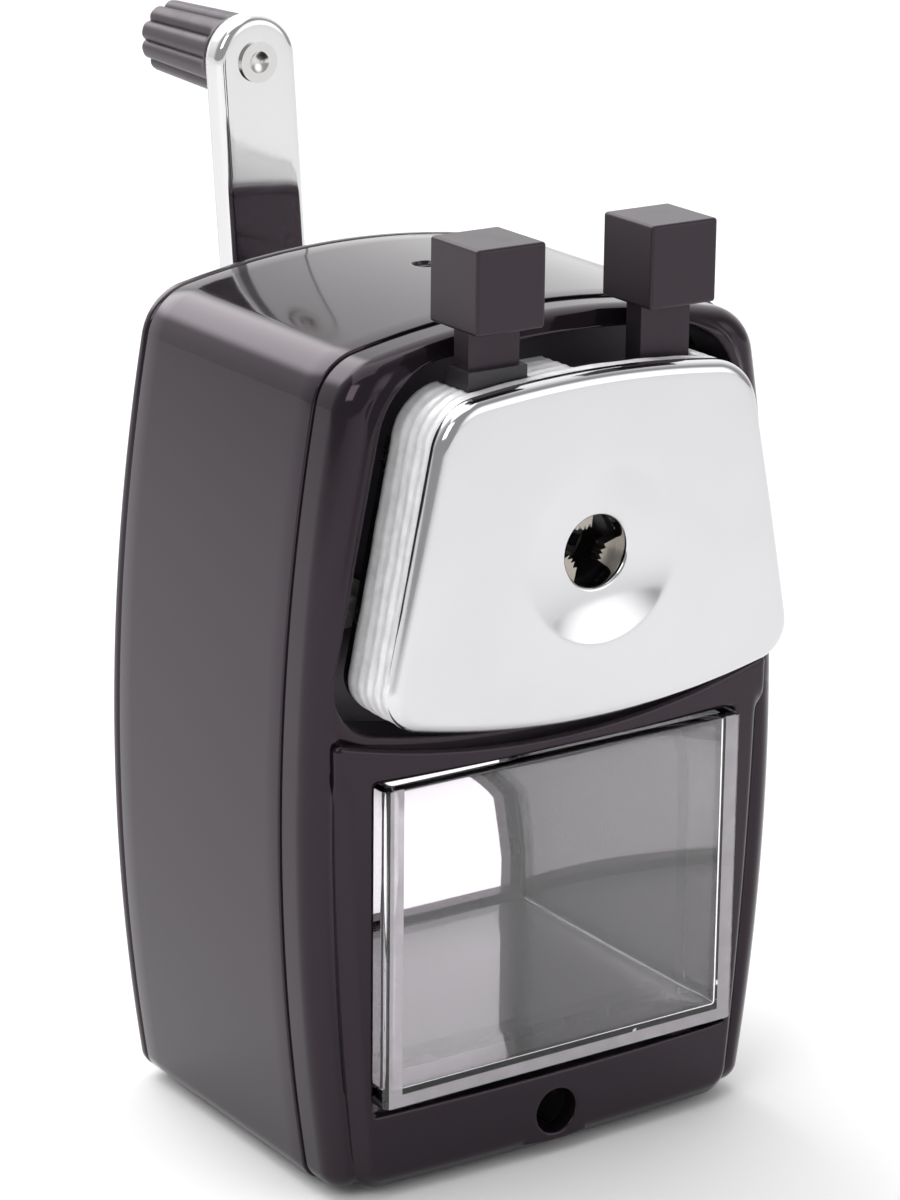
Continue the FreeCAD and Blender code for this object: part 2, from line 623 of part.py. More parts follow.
def make_chuck_screws():
    """Four screws that hold plate and chuck body to the cover's bosses."""
    screws = []
    for x, z in COVER_SCREWS:
        head = rod_y(1.9, x, z, BACK_PLATE_END, BACK_PLATE_END + 1.2)
        slot = box(x - 1.6, x + 1.6, BACK_PLATE_END + 0.7, 0, z - 0.25, z + 0.25)
        screws.append(fuse([head.cut(slot), rod_y(0.9, x, z, -30.5, BACK_PLATE_END)]))
    return Part.makeCompound(screws)


def make_guide_rod(side):
    """Round steel rod that guides the feed unit, with a groove for its clip."""
    rod = rod_y(ROD_RADIUS, side * ROD_X, ROD_Z, COVER_BACK, ROD_END)
    groove = tube_y(ROD_RADIUS + 1, 1.1, side * ROD_X, ROD_Z, CLIP_FRONT,
                    CLIP_FRONT + CLIP_THICKNESS)
    return rod.cut(groove)


def make_rod_clips():
    """Two spring clips that keep the feed springs on the rods."""
    clips = []
    for side in (-1, 1):
        x = side * ROD_X
        clip = tube_y(3.1, 1.1, x, ROD_Z, CLIP_FRONT, CLIP_FRONT + CLIP_THICKNESS)
        clips.append(clip.cut(box(x - 0.9, x + 0.9, 0, 40, ROD_Z - 5, ROD_Z)))
    return Part.makeCompound(clips)


def make_feed_spring(side):
    """Compression spring on a guide rod: it pulls the feed unit back to the body."""
    return coil_y(2.2, 0.35, side * ROD_X, ROD_Z, SPRING_FRONT, CLIP_FRONT - 0.1, 10)


def make_lever_spring():
    """Coil spring that parts the two finger grips."""
    spring = coil_y(1.4, 0.22, 0, 0, -8.6, 9.2, 9)
    spring.rotate(V(0, 0, 0), V(0, 0, 1), -90)
    spring.translate(V(0, -28.1, 104.0))
    return spring


# ---- crank and cutter ---------------------------------------------------------------------
def make_cutter_carrier():
    """Cage that turns with the crank and carries the cutter past the pencil."""
    front, back = (-6.6, -5.0), (17.6, 20.0)
    shapes = [rod_y(14.5, 0, AXIS_Z, *front), rod_y(14.5, 0, AXIS_Z, *back)]
    for x in (-12.0, 12.0):
        shapes.append(box(x - 1.3, x + 1.3, front[0], back[1], AXIS_Z - 4, AXIS_Z + 4))
    shapes.append(box(-4, 4, front[0], back[1], AXIS_Z - 13.3, AXIS_Z - 10.7))
    cage = fuse(shapes)
    cage = cage.cut(rod_y(5.2, 0, AXIS_Z, -40, front[1] + 0.1))
    cage = cage.cut(cutter_local(Part.makeCylinder(COLLAR_RADIUS + RUN_PLAY, 8.0)))
    cage = cage.cut(cutter_local(Part.makeCylinder(AXLE_RADIUS, 60.0)))
    return cage.cut(rod_y(SHAFT_RADIUS, 0, AXIS_Z, back[0] + 0.8, 40))


def make_cutter_axle():
    """Fixed pin that the cutter turns on."""
    return cutter_local(Part.makeCylinder(AXLE_RADIUS, 31.2, V(0, 0, -1.7)))


def make_cutter():
    """Fluted milling cutter with the collar that carries its pinion."""
    flutes = gear_wire(14, CUTTER_RADIUS - 0.9, CUTTER_RADIUS, 11.0, 3.0, 0.0)
    face = Part.Face(flutes)
    face.rotate(V(0, 0, 0), V(1, 0, 0), -90)
    blade = face.extrude(V(0, 0, CUTTER_END - CUTTER_START))
    blade.translate(V(0, 0, CUTTER_START - blade.BoundBox.ZMin))
    collar = Part.makeCylinder(COLLAR_RADIUS, CUTTER_START - 1.3, V(0, 0, 1.3))
    bore = Part.makeCylinder(AXLE_RADIUS + 0.05, 60, V(0, 0, -5))
    return cutter_local(fuse([blade, collar]).cut(bore))


def make_cutter_pinion():
    """Small gear on the cutter's front end, rolling inside the ring gear."""
    pitch = GEAR_MODULE * PINION_TEETH / 2.0
    step = 360.0 / PINION_TEETH
    teeth = gear_wire(PINION_TEETH, pitch - 1.1, pitch + 0.75, step * 0.30, step * 0.10, 90.0)
    face = Part.Face(teeth)
    face.rotate(V(0, 0, 0), V(1, 0, 0), -90)
    gear = face.extrude(V(0, 0, 2.6))
    gear.translate(V(0, 0, -1.3 - gear.BoundBox.ZMin))
    return cutter_local(gear.cut(Part.makeCylinder(AXLE_RADIUS + 0.05, 60, V(0, 0, -5))))


def make_crank_shaft():
    """Steel shaft from the carrier through the rear bush to the crank arm."""
    body = rod_y(SHAFT_RADIUS, 0, AXIS_Z, 18.4, 42.4)
    shoulder = rod_y(4.2, 0, AXIS_Z, 42.4, ARM_FRONT)
    thread = rod_y(THREAD_RADIUS, 0, AXIS_Z, ARM_FRONT, ARM_FRONT + 6.4)
    return fuse([body, shoulder, thread])


def stadium(half, y0, y1):
    """The crank arm's outline: two round ends about the shaft and the handle, y0 to y1."""
    run = V(HANDLE_X, 0, HANDLE_Z - AXIS_Z)
    side = V(run.z, 0, -run.x).normalize() * half
    start, end = V(0, 0, AXIS_Z), V(HANDLE_X, 0, HANDLE_Z)
    tip = V(run).normalize() * half
    wire = Part.Wire([
        Part.makeLine(start + side, end + side),
        Part.Arc(end + side, end + tip, end - side).toShape(),
        Part.makeLine(end - side, start - side),
        Part.Arc(start - side, start - tip, start + side).toShape(),
    ])
    return slab(wire, y0, y1)


def make_crank_arm():
    """Pressed steel arm: a channel with rounded shoulders, open to the rear."""
    arm = stadium(ARM_HALF, ARM_FRONT, ARM_FRONT + ARM_DEPTH)
    front_edges = [e for e in arm.Edges
                   if all(abs(v.Point.y - ARM_FRONT) < 1e-6 for v in e.Vertexes)]
    arm = arm.makeFillet(1.2, front_edges)
    arm = arm.cut(stadium(ARM_HALF - 1.1, ARM_FRONT + ARM_WEB, 60))
    arm = arm.cut(rod_y(THREAD_RADIUS + 0.02, 0, AXIS_Z, 0, 60))
    return arm.cut(rod_y(PIN_RADIUS + 0.02, HANDLE_X, HANDLE_Z, 0, 60))


def make_crank_nut():
    """Domed nut that holds the arm on the shaft."""
    hexagon = [(4.0 * math.cos(math.radians(a)), AXIS_Z + 4.0 * math.sin(math.radians(a)))
               for a in range(30, 390, 60)]
    nut = slab(polygon(hexagon), ARM_FRONT + ARM_WEB, ARM_FRONT + ARM_WEB + 3.6)
    dome = Part.makeSphere(3.2, V(0, ARM_FRONT + ARM_WEB + 3.6, AXIS_Z))
    nut = fuse([nut, dome.common(box(-5, 5, ARM_FRONT + 3, 60, AXIS_Z - 5, AXIS_Z + 5))])
    return nut.cut(rod_y(THREAD_RADIUS, 0, AXIS_Z, 0, ARM_FRONT + 6.4))


def make_knob_pin():
    """Rivet that the knob turns on, with a dimpled head in front of the arm."""
    head = rod_y(2.9, HANDLE_X, HANDLE_Z, ARM_FRONT - 0.5, ARM_FRONT)
    dimple = Part.makeSphere(2.6, V(HANDLE_X, ARM_FRONT - 2.6, HANDLE_Z))
    shank = rod_y(PIN_RADIUS, HANDLE_X, HANDLE_Z, ARM_FRONT - 0.5, KNOB_BACK - 4.0)
    collar = rod_y(3.4, HANDLE_X, HANDLE_Z, ARM_FRONT + ARM_WEB, KNOB_FRONT - 0.3)
    tail = rod_y(3.0, HANDLE_X, HANDLE_Z, KNOB_BACK - 4.0, KNOB_BACK - 2.6)
    return fuse([head, shank, collar, tail]).cut(dimple)


def make_crank_knob():
    """Fluted handle knob, a little narrower towards its end."""
    flutes = 10
    outer = Part.makeCone(KNOB_RADIUS, KNOB_RADIUS - 0.7, KNOB_BACK - KNOB_FRONT,
                          V(0, KNOB_FRONT, 0), Y_AXIS)
    outer = outer.makeFillet(0.7, [e for e in outer.Edges if e.BoundBox.YLength < 1e-6])
    for k in range(flutes):
        a = math.radians(90 + 360.0 * k / flutes)
        reach = KNOB_RADIUS + 0.35
        outer = outer.cut(rod_y(1.0, reach * math.cos(a), reach * math.sin(a),
                                KNOB_FRONT + 1.6, KNOB_BACK + 1))
    outer = outer.cut(rod_y(PIN_RADIUS + 0.07, 0, 0, 0, 100))
    outer = outer.cut(rod_y(3.3, 0, 0, KNOB_BACK - 4.1, 100))
    outer.translate(V(HANDLE_X, 0, HANDLE_Z))
    return outer


# ---- write every node ---------------------------------------------------------------------
def all_parts():
    """Every node's name and solid."""
    parts = {
        "body_shell": make_body_shell(), "shell_screw": make_shell_screw(),
        "front_frame": make_front_frame(), "clamp_socket": make_clamp_socket(),
        "base_plate": make_base_plate(), "rubber_pad": make_rubber_pad(),
        "base_screws": make_base_screws(), "drawer_deck": make_drawer_deck(),
        "bulkhead": make_bulkhead(), "guide_sleeves": make_guide_sleeves(),
        "cutter_housing": make_cutter_housing(), "ring_gear": make_ring_gear(),
        "rear_cover": make_rear_cover(), "housing_screws": make_housing_screws(),
        "rear_cap": make_rear_cap(), "rear_bushing": make_rear_bushing(),
        "drawer": make_drawer(),
        "face_cover": make_face_cover(), "chuck_base": make_chuck_base(),
        "fixed_grip": make_fixed_grip(), "jaw_pins": make_jaw_pins(),
        "chuck_back_plate": make_chuck_back_plate(), "chuck_screws": make_chuck_screws(),
        "guide_rod_left": make_guide_rod(-1), "guide_rod_right": make_guide_rod(1),
        "rod_clips": make_rod_clips(),
        "feed_spring_left": make_feed_spring(-1), "feed_spring_right": make_feed_spring(1),
        "thumb_lever": make_thumb_lever(), "lever_spring": make_lever_spring(),
        "cutter_carrier": make_cutter_carrier(), "cutter_axle": make_cutter_axle(),
        "cutter": make_cutter(), "cutter_pinion": make_cutter_pinion(),
        "crank_shaft": make_crank_shaft(), "crank_arm": make_crank_arm(),
        "crank_nut": make_crank_nut(), "knob_pin": make_knob_pin(),
        "crank_knob": make_crank_knob(),
    }
    for number, tip_angle in enumerate(JAW_TIP_ANGLES, start=1):
        parts["jaw_%d" % number] = make_jaw(tip_angle)
    return parts


def main():
    """Build, report and export."""
    os.makedirs("parts", exist_ok=True)
    for name, shape in sorted(all_parts().items()):
        solids = len(shape.Solids)
        print("%-18s solids %d valid %s volume %.1f" % (name, solids, shape.isValid(), shape.Volume))
        shape.exportStep("parts/%s.step" % name)


main()
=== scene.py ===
"""Crank pencil sharpener: the finished pieces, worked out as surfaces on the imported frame.

Sizes in the classes are millimetres in the part's own frame (front toward -Y, up +Z);
meshes are stored in metres.
"""
import logging
import math
from abc import ABC, abstractmethod
from dataclasses import dataclass
from enum import Enum
from typing import Callable, Dict, List, Optional, Sequence, Tuple

import bmesh
import bpy
import numpy as np
from mathutils import Matrix, Vector


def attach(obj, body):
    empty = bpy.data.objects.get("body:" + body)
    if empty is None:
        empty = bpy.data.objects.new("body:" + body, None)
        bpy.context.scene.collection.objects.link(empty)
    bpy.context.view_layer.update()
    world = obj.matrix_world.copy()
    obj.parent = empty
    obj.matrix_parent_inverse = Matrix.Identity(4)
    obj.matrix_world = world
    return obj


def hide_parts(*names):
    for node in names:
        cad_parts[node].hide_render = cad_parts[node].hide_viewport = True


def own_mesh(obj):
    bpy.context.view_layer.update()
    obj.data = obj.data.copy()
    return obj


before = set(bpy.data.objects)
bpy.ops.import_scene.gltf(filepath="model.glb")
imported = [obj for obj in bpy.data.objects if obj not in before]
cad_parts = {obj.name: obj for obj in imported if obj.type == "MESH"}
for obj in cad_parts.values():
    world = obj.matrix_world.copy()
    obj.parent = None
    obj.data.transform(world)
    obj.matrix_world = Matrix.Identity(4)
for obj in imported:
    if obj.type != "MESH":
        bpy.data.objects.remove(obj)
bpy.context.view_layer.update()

MM = 0.001
AXIS_Z = 87.7
LOG = logging.getLogger("sharpener")

Colour = Tuple[float, float, float]
Point2 = Tuple[float, float]
Array = np.ndarray


class Rides(Enum):
    """The moving groups that a piece can belong to."""

    CASE = "body"
    DRAWER = "drawer"
    FEED = "feed_unit"
    CRANK = "crank"
    KNOB = "knob"


# ---- shader graph ---------------------------------------------------------------------------
class Graph:
    """Adds and wires the nodes of one node tree."""

    def __init__(self, tree: bpy.types.NodeTree) -> None:
        """Keep the tree to work on."""
        self.tree = tree

    def add(self, kind: str, **settings: object) -> bpy.types.Node:
        """Add a node.

        Args:
            kind: the node's type name.
            settings: attributes to set on it.
        Returns:
            The new node.
        """
        node = self.tree.nodes.new(kind)
        for name, value in settings.items():
            setattr(node, name, value)
        return node

    def feed(self, socket: bpy.types.NodeSocket, value: object) -> None:
        """Link a socket to another socket, or set its plain value."""
        if isinstance(value, bpy.types.NodeSocket):
            self.tree.links.new(value, socket)
        else:
            socket.default_value = value

    def math(self, operation: str, first: object, second: object = 0.0,
             clamp: bool = False) -> bpy.types.NodeSocket:
        """Add a Math node.

        Args:
            operation: its operation.
            first: first operand, a socket or a number.
            second: second operand.
            clamp: whether to keep the result between 0 and 1.
        Returns:
            The result's socket.
        """
        node = self.add("ShaderNodeMath", operation=operation, use_clamp=clamp)
        self.feed(node.inputs[0], first)
        self.feed(node.inputs[1], second)
        return node.outputs[0]

    def noise(self, place: object, scale: object, detail: float = 2.0) -> bpy.types.NodeSocket:
        """Add fractal noise, from 0 to 1, at a place.

        Args:
            place: the position's socket.
            scale: how many cells to a metre.
            detail: octaves.
        Returns:
            The value's socket.
        """
        node = self.add("ShaderNodeTexNoise")
        self.feed(node.inputs["Vector"], place)
        self.feed(node.inputs["Scale"], scale)
        node.inputs["Detail"].default_value = detail
        return node.outputs["Fac"]

    def spread(self, value: object, low: float, high: float) -> bpy.types.NodeSocket:
        """Stretch the range low to high of a value over 0 to 1.

        Args:
            value: the value's socket.
            low: what becomes 0.
            high: what becomes 1.
        Returns:
            The result's socket.
        """
        node = self.add("ShaderNodeMapRange", interpolation_type="SMOOTHSTEP")
        self.feed(node.inputs["Value"], value)
        node.inputs["From Min"].default_value = low
        node.inputs["From Max"].default_value = high
        return node.outputs["Result"]

    def mix(self, share: object, first: object, second: object) -> bpy.types.NodeSocket:
        """Mix two colours.

        Args:
            share: how much of the second.
            first: a socket or an RGBA colour.
            second: a socket or an RGBA colour.
        Returns:
            The colour's socket.
        """
        node = self.add("ShaderNodeMix", data_type="RGBA")
        self.feed(node.inputs["Factor"], share)
        self.feed([s for s in node.inputs if s.name == "A" and s.type == "RGBA"][0], first)
        self.feed([s for s in node.inputs if s.name == "B" and s.type == "RGBA"][0], second)
        return [s for s in node.outputs if s.type == "RGBA"][0]

    def group(self, tree: bpy.types.NodeTree, **inputs: object) -> bpy.types.Node:
        """Place a shared effect.

        Args:
            tree: the effect's node group.
            inputs: values or sockets by input name.
        Returns:
            The group node.
        """
        node = self.add("ShaderNodeGroup", node_tree=tree)
        for name, value in inputs.items():
            self.feed(node.inputs[name], value)
        return node


class Effects:
    """Shared shader effects, each a node group that is built once."""

    def __init__(self) -> None:
        """Start with none built."""
        self.built: Dict[str, bpy.types.NodeTree] = {}

    def start(self, name: str, inputs: Dict[str, str],
              outputs: Dict[str, str]) -> Tuple[Graph, bpy.types.Node, bpy.types.Node]:
        """Open a new group.

        Args:
            name: the group's name.
            inputs: input names with their kinds.
            outputs: output names with their kinds.
        Returns:
            The graph, its input node and its output node.
        """
        tree = bpy.data.node_groups.new(name, "ShaderNodeTree")
        for side, sockets in (("INPUT", inputs), ("OUTPUT", outputs)):
            for socket_name, kind in sockets.items():
                tree.interface.new_socket(name=socket_name, in_out=side,
                                          socket_type="NodeSocket" + kind)
        self.built[name] = tree
        graph = Graph(tree)
        return graph, graph.add("NodeGroupInput"), graph.add("NodeGroupOutput")

    def tone(self) -> bpy.types.NodeTree:
        """Colour drift: slow noise moves the colour a little darker and lighter."""
        if "tone" not in self.built:
            graph, given, out = self.start(
                "tone", {"Place": "Vector", "Colour": "Color", "Cells": "Float", "Amount": "Float"},
                {"Colour": "Color"})
            slow = graph.noise(given.outputs["Place"], given.outputs["Cells"], 3.0)
            swing = graph.math("MULTIPLY", graph.math("SUBTRACT", slow, 0.5), 2.0)
            factor = graph.math("ADD", graph.math("MULTIPLY", swing, given.outputs["Amount"]), 1.0)
            scaled = graph.add("ShaderNodeVectorMath", operation="SCALE")
            graph.feed(scaled.inputs[0], given.outputs["Colour"])
            graph.feed(scaled.inputs["Scale"], factor)
            graph.feed(out.inputs["Colour"], scaled.outputs[0])
        return self.built["tone"]

    def handling(self) -> bpy.types.NodeTree:
        """Handling marks: blotches of slightly higher roughness, as fingers leave on gloss."""
        if "handling" not in self.built:
            graph, given, out = self.start(
                "handling", {"Place": "Vector", "Roughness": "Float", "Cells": "Float",
                             "Amount": "Float"}, {"Roughness": "Float"})
            blotch = graph.spread(graph.noise(given.outputs["Place"], given.outputs["Cells"], 4.0),
                                  0.45, 0.75)
            fine = graph.noise(given.outputs["Place"],
                               graph.math("MULTIPLY", given.outputs["Cells"], 9.0), 2.0)
            haze = graph.math("MULTIPLY", graph.math("MULTIPLY", blotch, fine),
                              given.outputs["Amount"])
            graph.feed(out.inputs["Roughness"],
                       graph.math("ADD", given.outputs["Roughness"], haze, clamp=True))
        return self.built["handling"]

    def grain(self) -> bpy.types.NodeTree:
        """Surface grain: noise stretched by a vector, for moulded, brushed or lacquered skins."""
        if "grain" not in self.built:
            graph, given, out = self.start(
                "grain", {"Place": "Vector", "Stretch": "Vector", "Cells": "Float"},
                {"Height": "Float"})
            bent = graph.add("ShaderNodeVectorMath", operation="MULTIPLY")
            graph.feed(bent.inputs[0], given.outputs["Place"])
            graph.feed(bent.inputs[1], given.outputs["Stretch"])
            graph.feed(out.inputs["Height"],
                       graph.noise(bent.outputs[0], given.outputs["Cells"], 3.0))
        return self.built["grain"]

    def veil(self, name: str, over: str, where: Callable[[Graph], bpy.types.NodeSocket],
             noise: Tuple[float, float, float, float]) -> bpy.types.NodeTree:
        """Another colour laid over some places and broken up by noise.

        Args:
            name: the group's name.
            over: the name of the other colour's input.
            where: adds the nodes that say where, from 0 to 1.
            noise: the noise's cells to a metre, its octaves, and what becomes 0 and 1.
        Returns:
            The node group.
        """
        if name not in self.built:
            graph, given, out = self.start(
                name, {"Place": "Vector", "Colour": "Color", over: "Color", "Amount": "Float"},
                {"Colour": "Color", "Mask": "Float"})
            cells, octaves, low, high = noise
            place = where(graph)
            broken = graph.spread(graph.noise(given.outputs["Place"], cells, octaves), low, high)
            mask = graph.math("MULTIPLY", graph.math("MULTIPLY", place, broken),
                              given.outputs["Amount"], clamp=True)
            graph.feed(out.inputs["Mask"], mask)
            graph.feed(out.inputs["Colour"],
                       graph.mix(mask, given.outputs["Colour"], given.outputs[over]))
        return self.built[name]

    def dust(self) -> bpy.types.NodeTree:
        """Dust: a faint pale film on faces that look up, broken up by noise."""
        def upward(graph: Graph) -> bpy.types.NodeSocket:
            """How far a face looks up."""
            split = graph.add("ShaderNodeSeparateXYZ")
            graph.feed(split.inputs[0], graph.add("ShaderNodeNewGeometry").outputs["Normal"])
            return graph.spread(split.outputs["Z"], 0.3, 1.0)

        return self.veil("dust", "Film", upward, (900.0, 5.0, 0.3, 0.8))

    def edge_wear(self) -> bpy.types.NodeTree:
        """Edge wear: convex edges polished paler, from how pointed the mesh is there."""
        def pointed(graph: Graph) -> bpy.types.NodeSocket:
            """How pointed the mesh is, kept to convex edges."""
            return graph.spread(graph.add("ShaderNodeNewGeometry").outputs["Pointiness"],
                                0.515, 0.6)

        return self.veil("edge_wear", "Bare", pointed, (700.0, 4.0, 0.25, 0.7))


EFFECTS = Effects()
READY: Dict[str, bpy.types.Material] = {}


@dataclass(frozen=True)
class Finish:
    """How one kind of surface looks; sizes in millimetres."""

    name: str
    colour: Colour
    roughness: float
    metallic: float = 0.0
    ior: float = 1.5
    tint: Colour = (1.0, 1.0, 1.0)
    transmission: float = 0.0
    drift: float = 0.08
    drift_size: float = 12.0
    marks: float = 0.06
    marks_size: float = 9.0
    grain_size: float = 0.3
    grain_depth: float = 0.002
    grain_stretch: Tuple[float, float, float] = (1.0, 1.0, 1.0)
    dust: float = 0.0
    wear: float = 0.0
    film: Colour = (0.45, 0.43, 0.42)

    def material(self) -> bpy.types.Material:
        """The finish as a material, built the first time it is asked for."""
        if self.name in READY:
            return READY[self.name]
        made = bpy.data.materials.new("finish_" + self.name)
        READY[self.name] = made
        made.use_nodes = True
        made.node_tree.nodes.clear()
        graph = Graph(made.node_tree)
        place = graph.add("ShaderNodeTexCoord").outputs["Object"]
        colour = graph.group(EFFECTS.tone(), Place=place, Colour=(*self.colour, 1.0),
                             Cells=1000.0 / self.drift_size, Amount=self.drift).outputs["Colour"]
        if self.wear:
            bare = tuple(min(1.0, c * 2.2 + 0.03) for c in self.colour)
            colour = graph.group(EFFECTS.edge_wear(), Place=place, Colour=colour,
                                 Bare=(*bare, 1.0), Amount=self.wear).outputs["Colour"]
        if self.dust:
            colour = graph.group(EFFECTS.dust(), Place=place, Colour=colour,
                                 Film=(*self.film, 1.0), Amount=self.dust).outputs["Colour"]
        rough = graph.group(EFFECTS.handling(), Place=place, Roughness=self.roughness,
                            Cells=1000.0 / self.marks_size, Amount=self.marks)
        grain = graph.group(EFFECTS.grain(), Place=place, Stretch=self.grain_stretch,
                            Cells=1000.0 / self.grain_size)
        bump = graph.add("ShaderNodeBump")
        bump.inputs["Strength"].default_value = 1.0
        bump.inputs["Distance"].default_value = self.grain_depth * MM
        graph.feed(bump.inputs["Height"], grain.outputs["Height"])
        shader = graph.add("ShaderNodeBsdfPrincipled")
        graph.feed(shader.inputs["Base Color"], colour)
        graph.feed(shader.inputs["Roughness"], rough.outputs["Roughness"])
        graph.feed(shader.inputs["Normal"], bump.outputs["Normal"])
        for socket, value in (("Metallic", self.metallic), ("IOR", self.ior),
                              ("Specular Tint", (*self.tint, 1.0)),
                              ("Transmission Weight", self.transmission)):
            shader.inputs[socket].default_value = value
        out = graph.add("ShaderNodeOutputMaterial")
        graph.feed(out.inputs["Surface"], shader.outputs["BSDF"])
        return made


PLUM = (1.0, 0.80, 0.97)

HOOD_LACQUER = Finish("hood_lacquer", (0.0075, 0.0058, 0.0072), 0.085, ior=1.47, tint=PLUM,
                      drift=0.1, marks=0.05, grain_size=1.6, grain_depth=0.0012)
FRAME_GLOSS = Finish("frame_gloss", (0.0065, 0.0050, 0.0062), 0.10, ior=1.42, tint=PLUM,
                     marks=0.05, grain_size=2.2, grain_depth=0.0015)
CHROME = Finish("cover_chrome", (0.61, 0.605, 0.615), 0.10, metallic=1.0, drift=0.07,
                drift_size=24.0, marks=0.05, grain_size=6.0, grain_depth=0.004)
# Cover's side wall: real satin plating with streaks and marks, but its pale diffuse base at low
# metallic is painted reflection, light grey whatever it mirrors.
WALL_PLATING_PAINTED_REFLECTION = Finish("wall_plating_painted_reflection", (0.88, 0.87, 0.88), 0.36, metallic=0.25, drift=0.2,
                      drift_size=1.6, marks=0.2, marks_size=2.0, grain_size=0.9,
                      grain_depth=0.05, grain_stretch=(0.5, 2.4, 0.35))
ARM_CHROME = Finish("arm_chrome", (0.66, 0.66, 0.66), 0.07, metallic=1.0, drift=0.02,
                    marks=0.06, marks_size=5.0, grain_size=1.2, grain_depth=0.0012)
GRIP_SATIN = Finish("grip_satin", (0.018, 0.0150, 0.0175), 0.33, ior=1.40, tint=PLUM, drift=0.05,
                    marks=0.05, marks_size=6.0, grain_size=0.28, grain_depth=0.0025)
KNOB_SATIN = Finish("knob_satin", (0.034, 0.030, 0.0335), 0.38, ior=1.42, tint=PLUM, marks=0.10,
                    marks_size=5.0, grain_size=0.3, grain_depth=0.003, dust=0.02, wear=0.3)
INNER_MOULDING = Finish("inner_moulding", (0.15, 0.135, 0.155), 0.40, marks=0.1,
                        grain_size=0.4, grain_depth=0.001)
BASE_MOULDING = Finish("base_moulding", (0.34, 0.32, 0.345), 0.45, marks=0.1, grain_size=0.4,
                       grain_depth=0.001)
REAR_MOULDING = Finish("rear_moulding", (0.016, 0.0135, 0.0155), 0.27, tint=PLUM, marks=0.06,
                       grain_size=0.35, grain_depth=0.0015)
CHUCK_MOULDING = Finish("chuck_moulding", (0.022, 0.019, 0.022), 0.36, marks=0.1,
                        grain_size=0.3, grain_depth=0.004)
ACETAL = Finish("acetal", (0.74, 0.72, 0.66), 0.33, ior=1.48, drift=0.04, marks=0.1,
                grain_size=0.5, grain_depth=0.003)
PAD_RUBBER = Finish("pad_rubber", (0.024, 0.023, 0.022), 0.78, drift=0.15, marks=0.1,
                    grain_size=0.25, grain_depth=0.012)
STYRENE = Finish("clear_styrene", (0.985, 0.965, 0.99), 0.018, ior=1.59, transmission=1.0,
                 drift=0.012, marks=0.02, grain_size=9.0, grain_depth=0.004)
# Drawer's front border strip: clear styrene given a paler grey, half-opaque tone that is painted
# highlight of the clear edge.
STYRENE_EDGE_PAINTED_HIGHLIGHT = Finish("styrene_edge_painted_highlight", (0.55, 0.52, 0.55), 0.14, ior=1.42, transmission=0.35,
                      drift=0.16, drift_size=2.5, marks=0.1, grain_size=2.0, grain_depth=0.02)
STEEL = Finish("bright_steel", (0.62, 0.61, 0.60), 0.22, metallic=1.0, drift=0.05,
               marks=0.12, marks_size=4.0, grain_size=0.25, grain_depth=0.0015,
               grain_stretch=(1.0, 0.12, 1.0))
JAW_STEEL = Finish("jaw_steel", (0.36, 0.33, 0.29), 0.30, metallic=1.0, drift=0.12,
                   drift_size=3.0, marks=0.15, grain_size=0.2, grain_depth=0.003)
TOOL_STEEL = Finish("tool_steel", (0.34, 0.34, 0.35), 0.30, metallic=1.0, drift=0.1,
                    marks=0.15, grain_size=0.2, grain_depth=0.002,
                    grain_stretch=(1.0, 0.1, 1.0))
SPRING_WIRE = Finish("spring_wire", (0.50, 0.49, 0.47), 0.28, metallic=1.0, drift=0.08,
                     marks=0.1, grain_size=0.15, grain_depth=0.001)
SCREW_BLACK = Finish("screw_black", (0.055, 0.053, 0.055), 0.32, metallic=0.85, drift=0.12,
                     marks=0.15, grain_size=0.2, grain_depth=0.002)

CAD_FINISHES: Dict[str, Tuple[Finish, Tuple[str, ...]]] = {
    "case": (INNER_MOULDING, ("drawer_deck", "bulkhead", "cutter_housing")),
    "base": (BASE_MOULDING, ("base_plate",)),
    "rear": (REAR_MOULDING, ("rear_cover", "rear_cap")),
    "chuck": (CHUCK_MOULDING, ("chuck_base",)),
    "grips": (GRIP_SATIN, ("fixed_grip", "thumb_lever")),
    "plastic": (ACETAL, ("guide_sleeves", "rear_bushing", "ring_gear")),
    "pad": (PAD_RUBBER, ("rubber_pad",)),
    "steel": (STEEL, ("clamp_socket", "chuck_back_plate", "guide_rod_left", "guide_rod_right",
                      "crank_shaft", "knob_pin", "cutter_carrier", "cutter_axle", "jaw_pins",
                      "rod_clips")),
    "jaws": (JAW_STEEL, ("jaw_1", "jaw_2", "jaw_3")),
    "cutter": (TOOL_STEEL, ("cutter", "cutter_pinion")),
    "nut": (ARM_CHROME, ("crank_nut",)),
    "screws": (SCREW_BLACK, ("shell_screw", "base_screws", "housing_screws", "chuck_screws")),
}


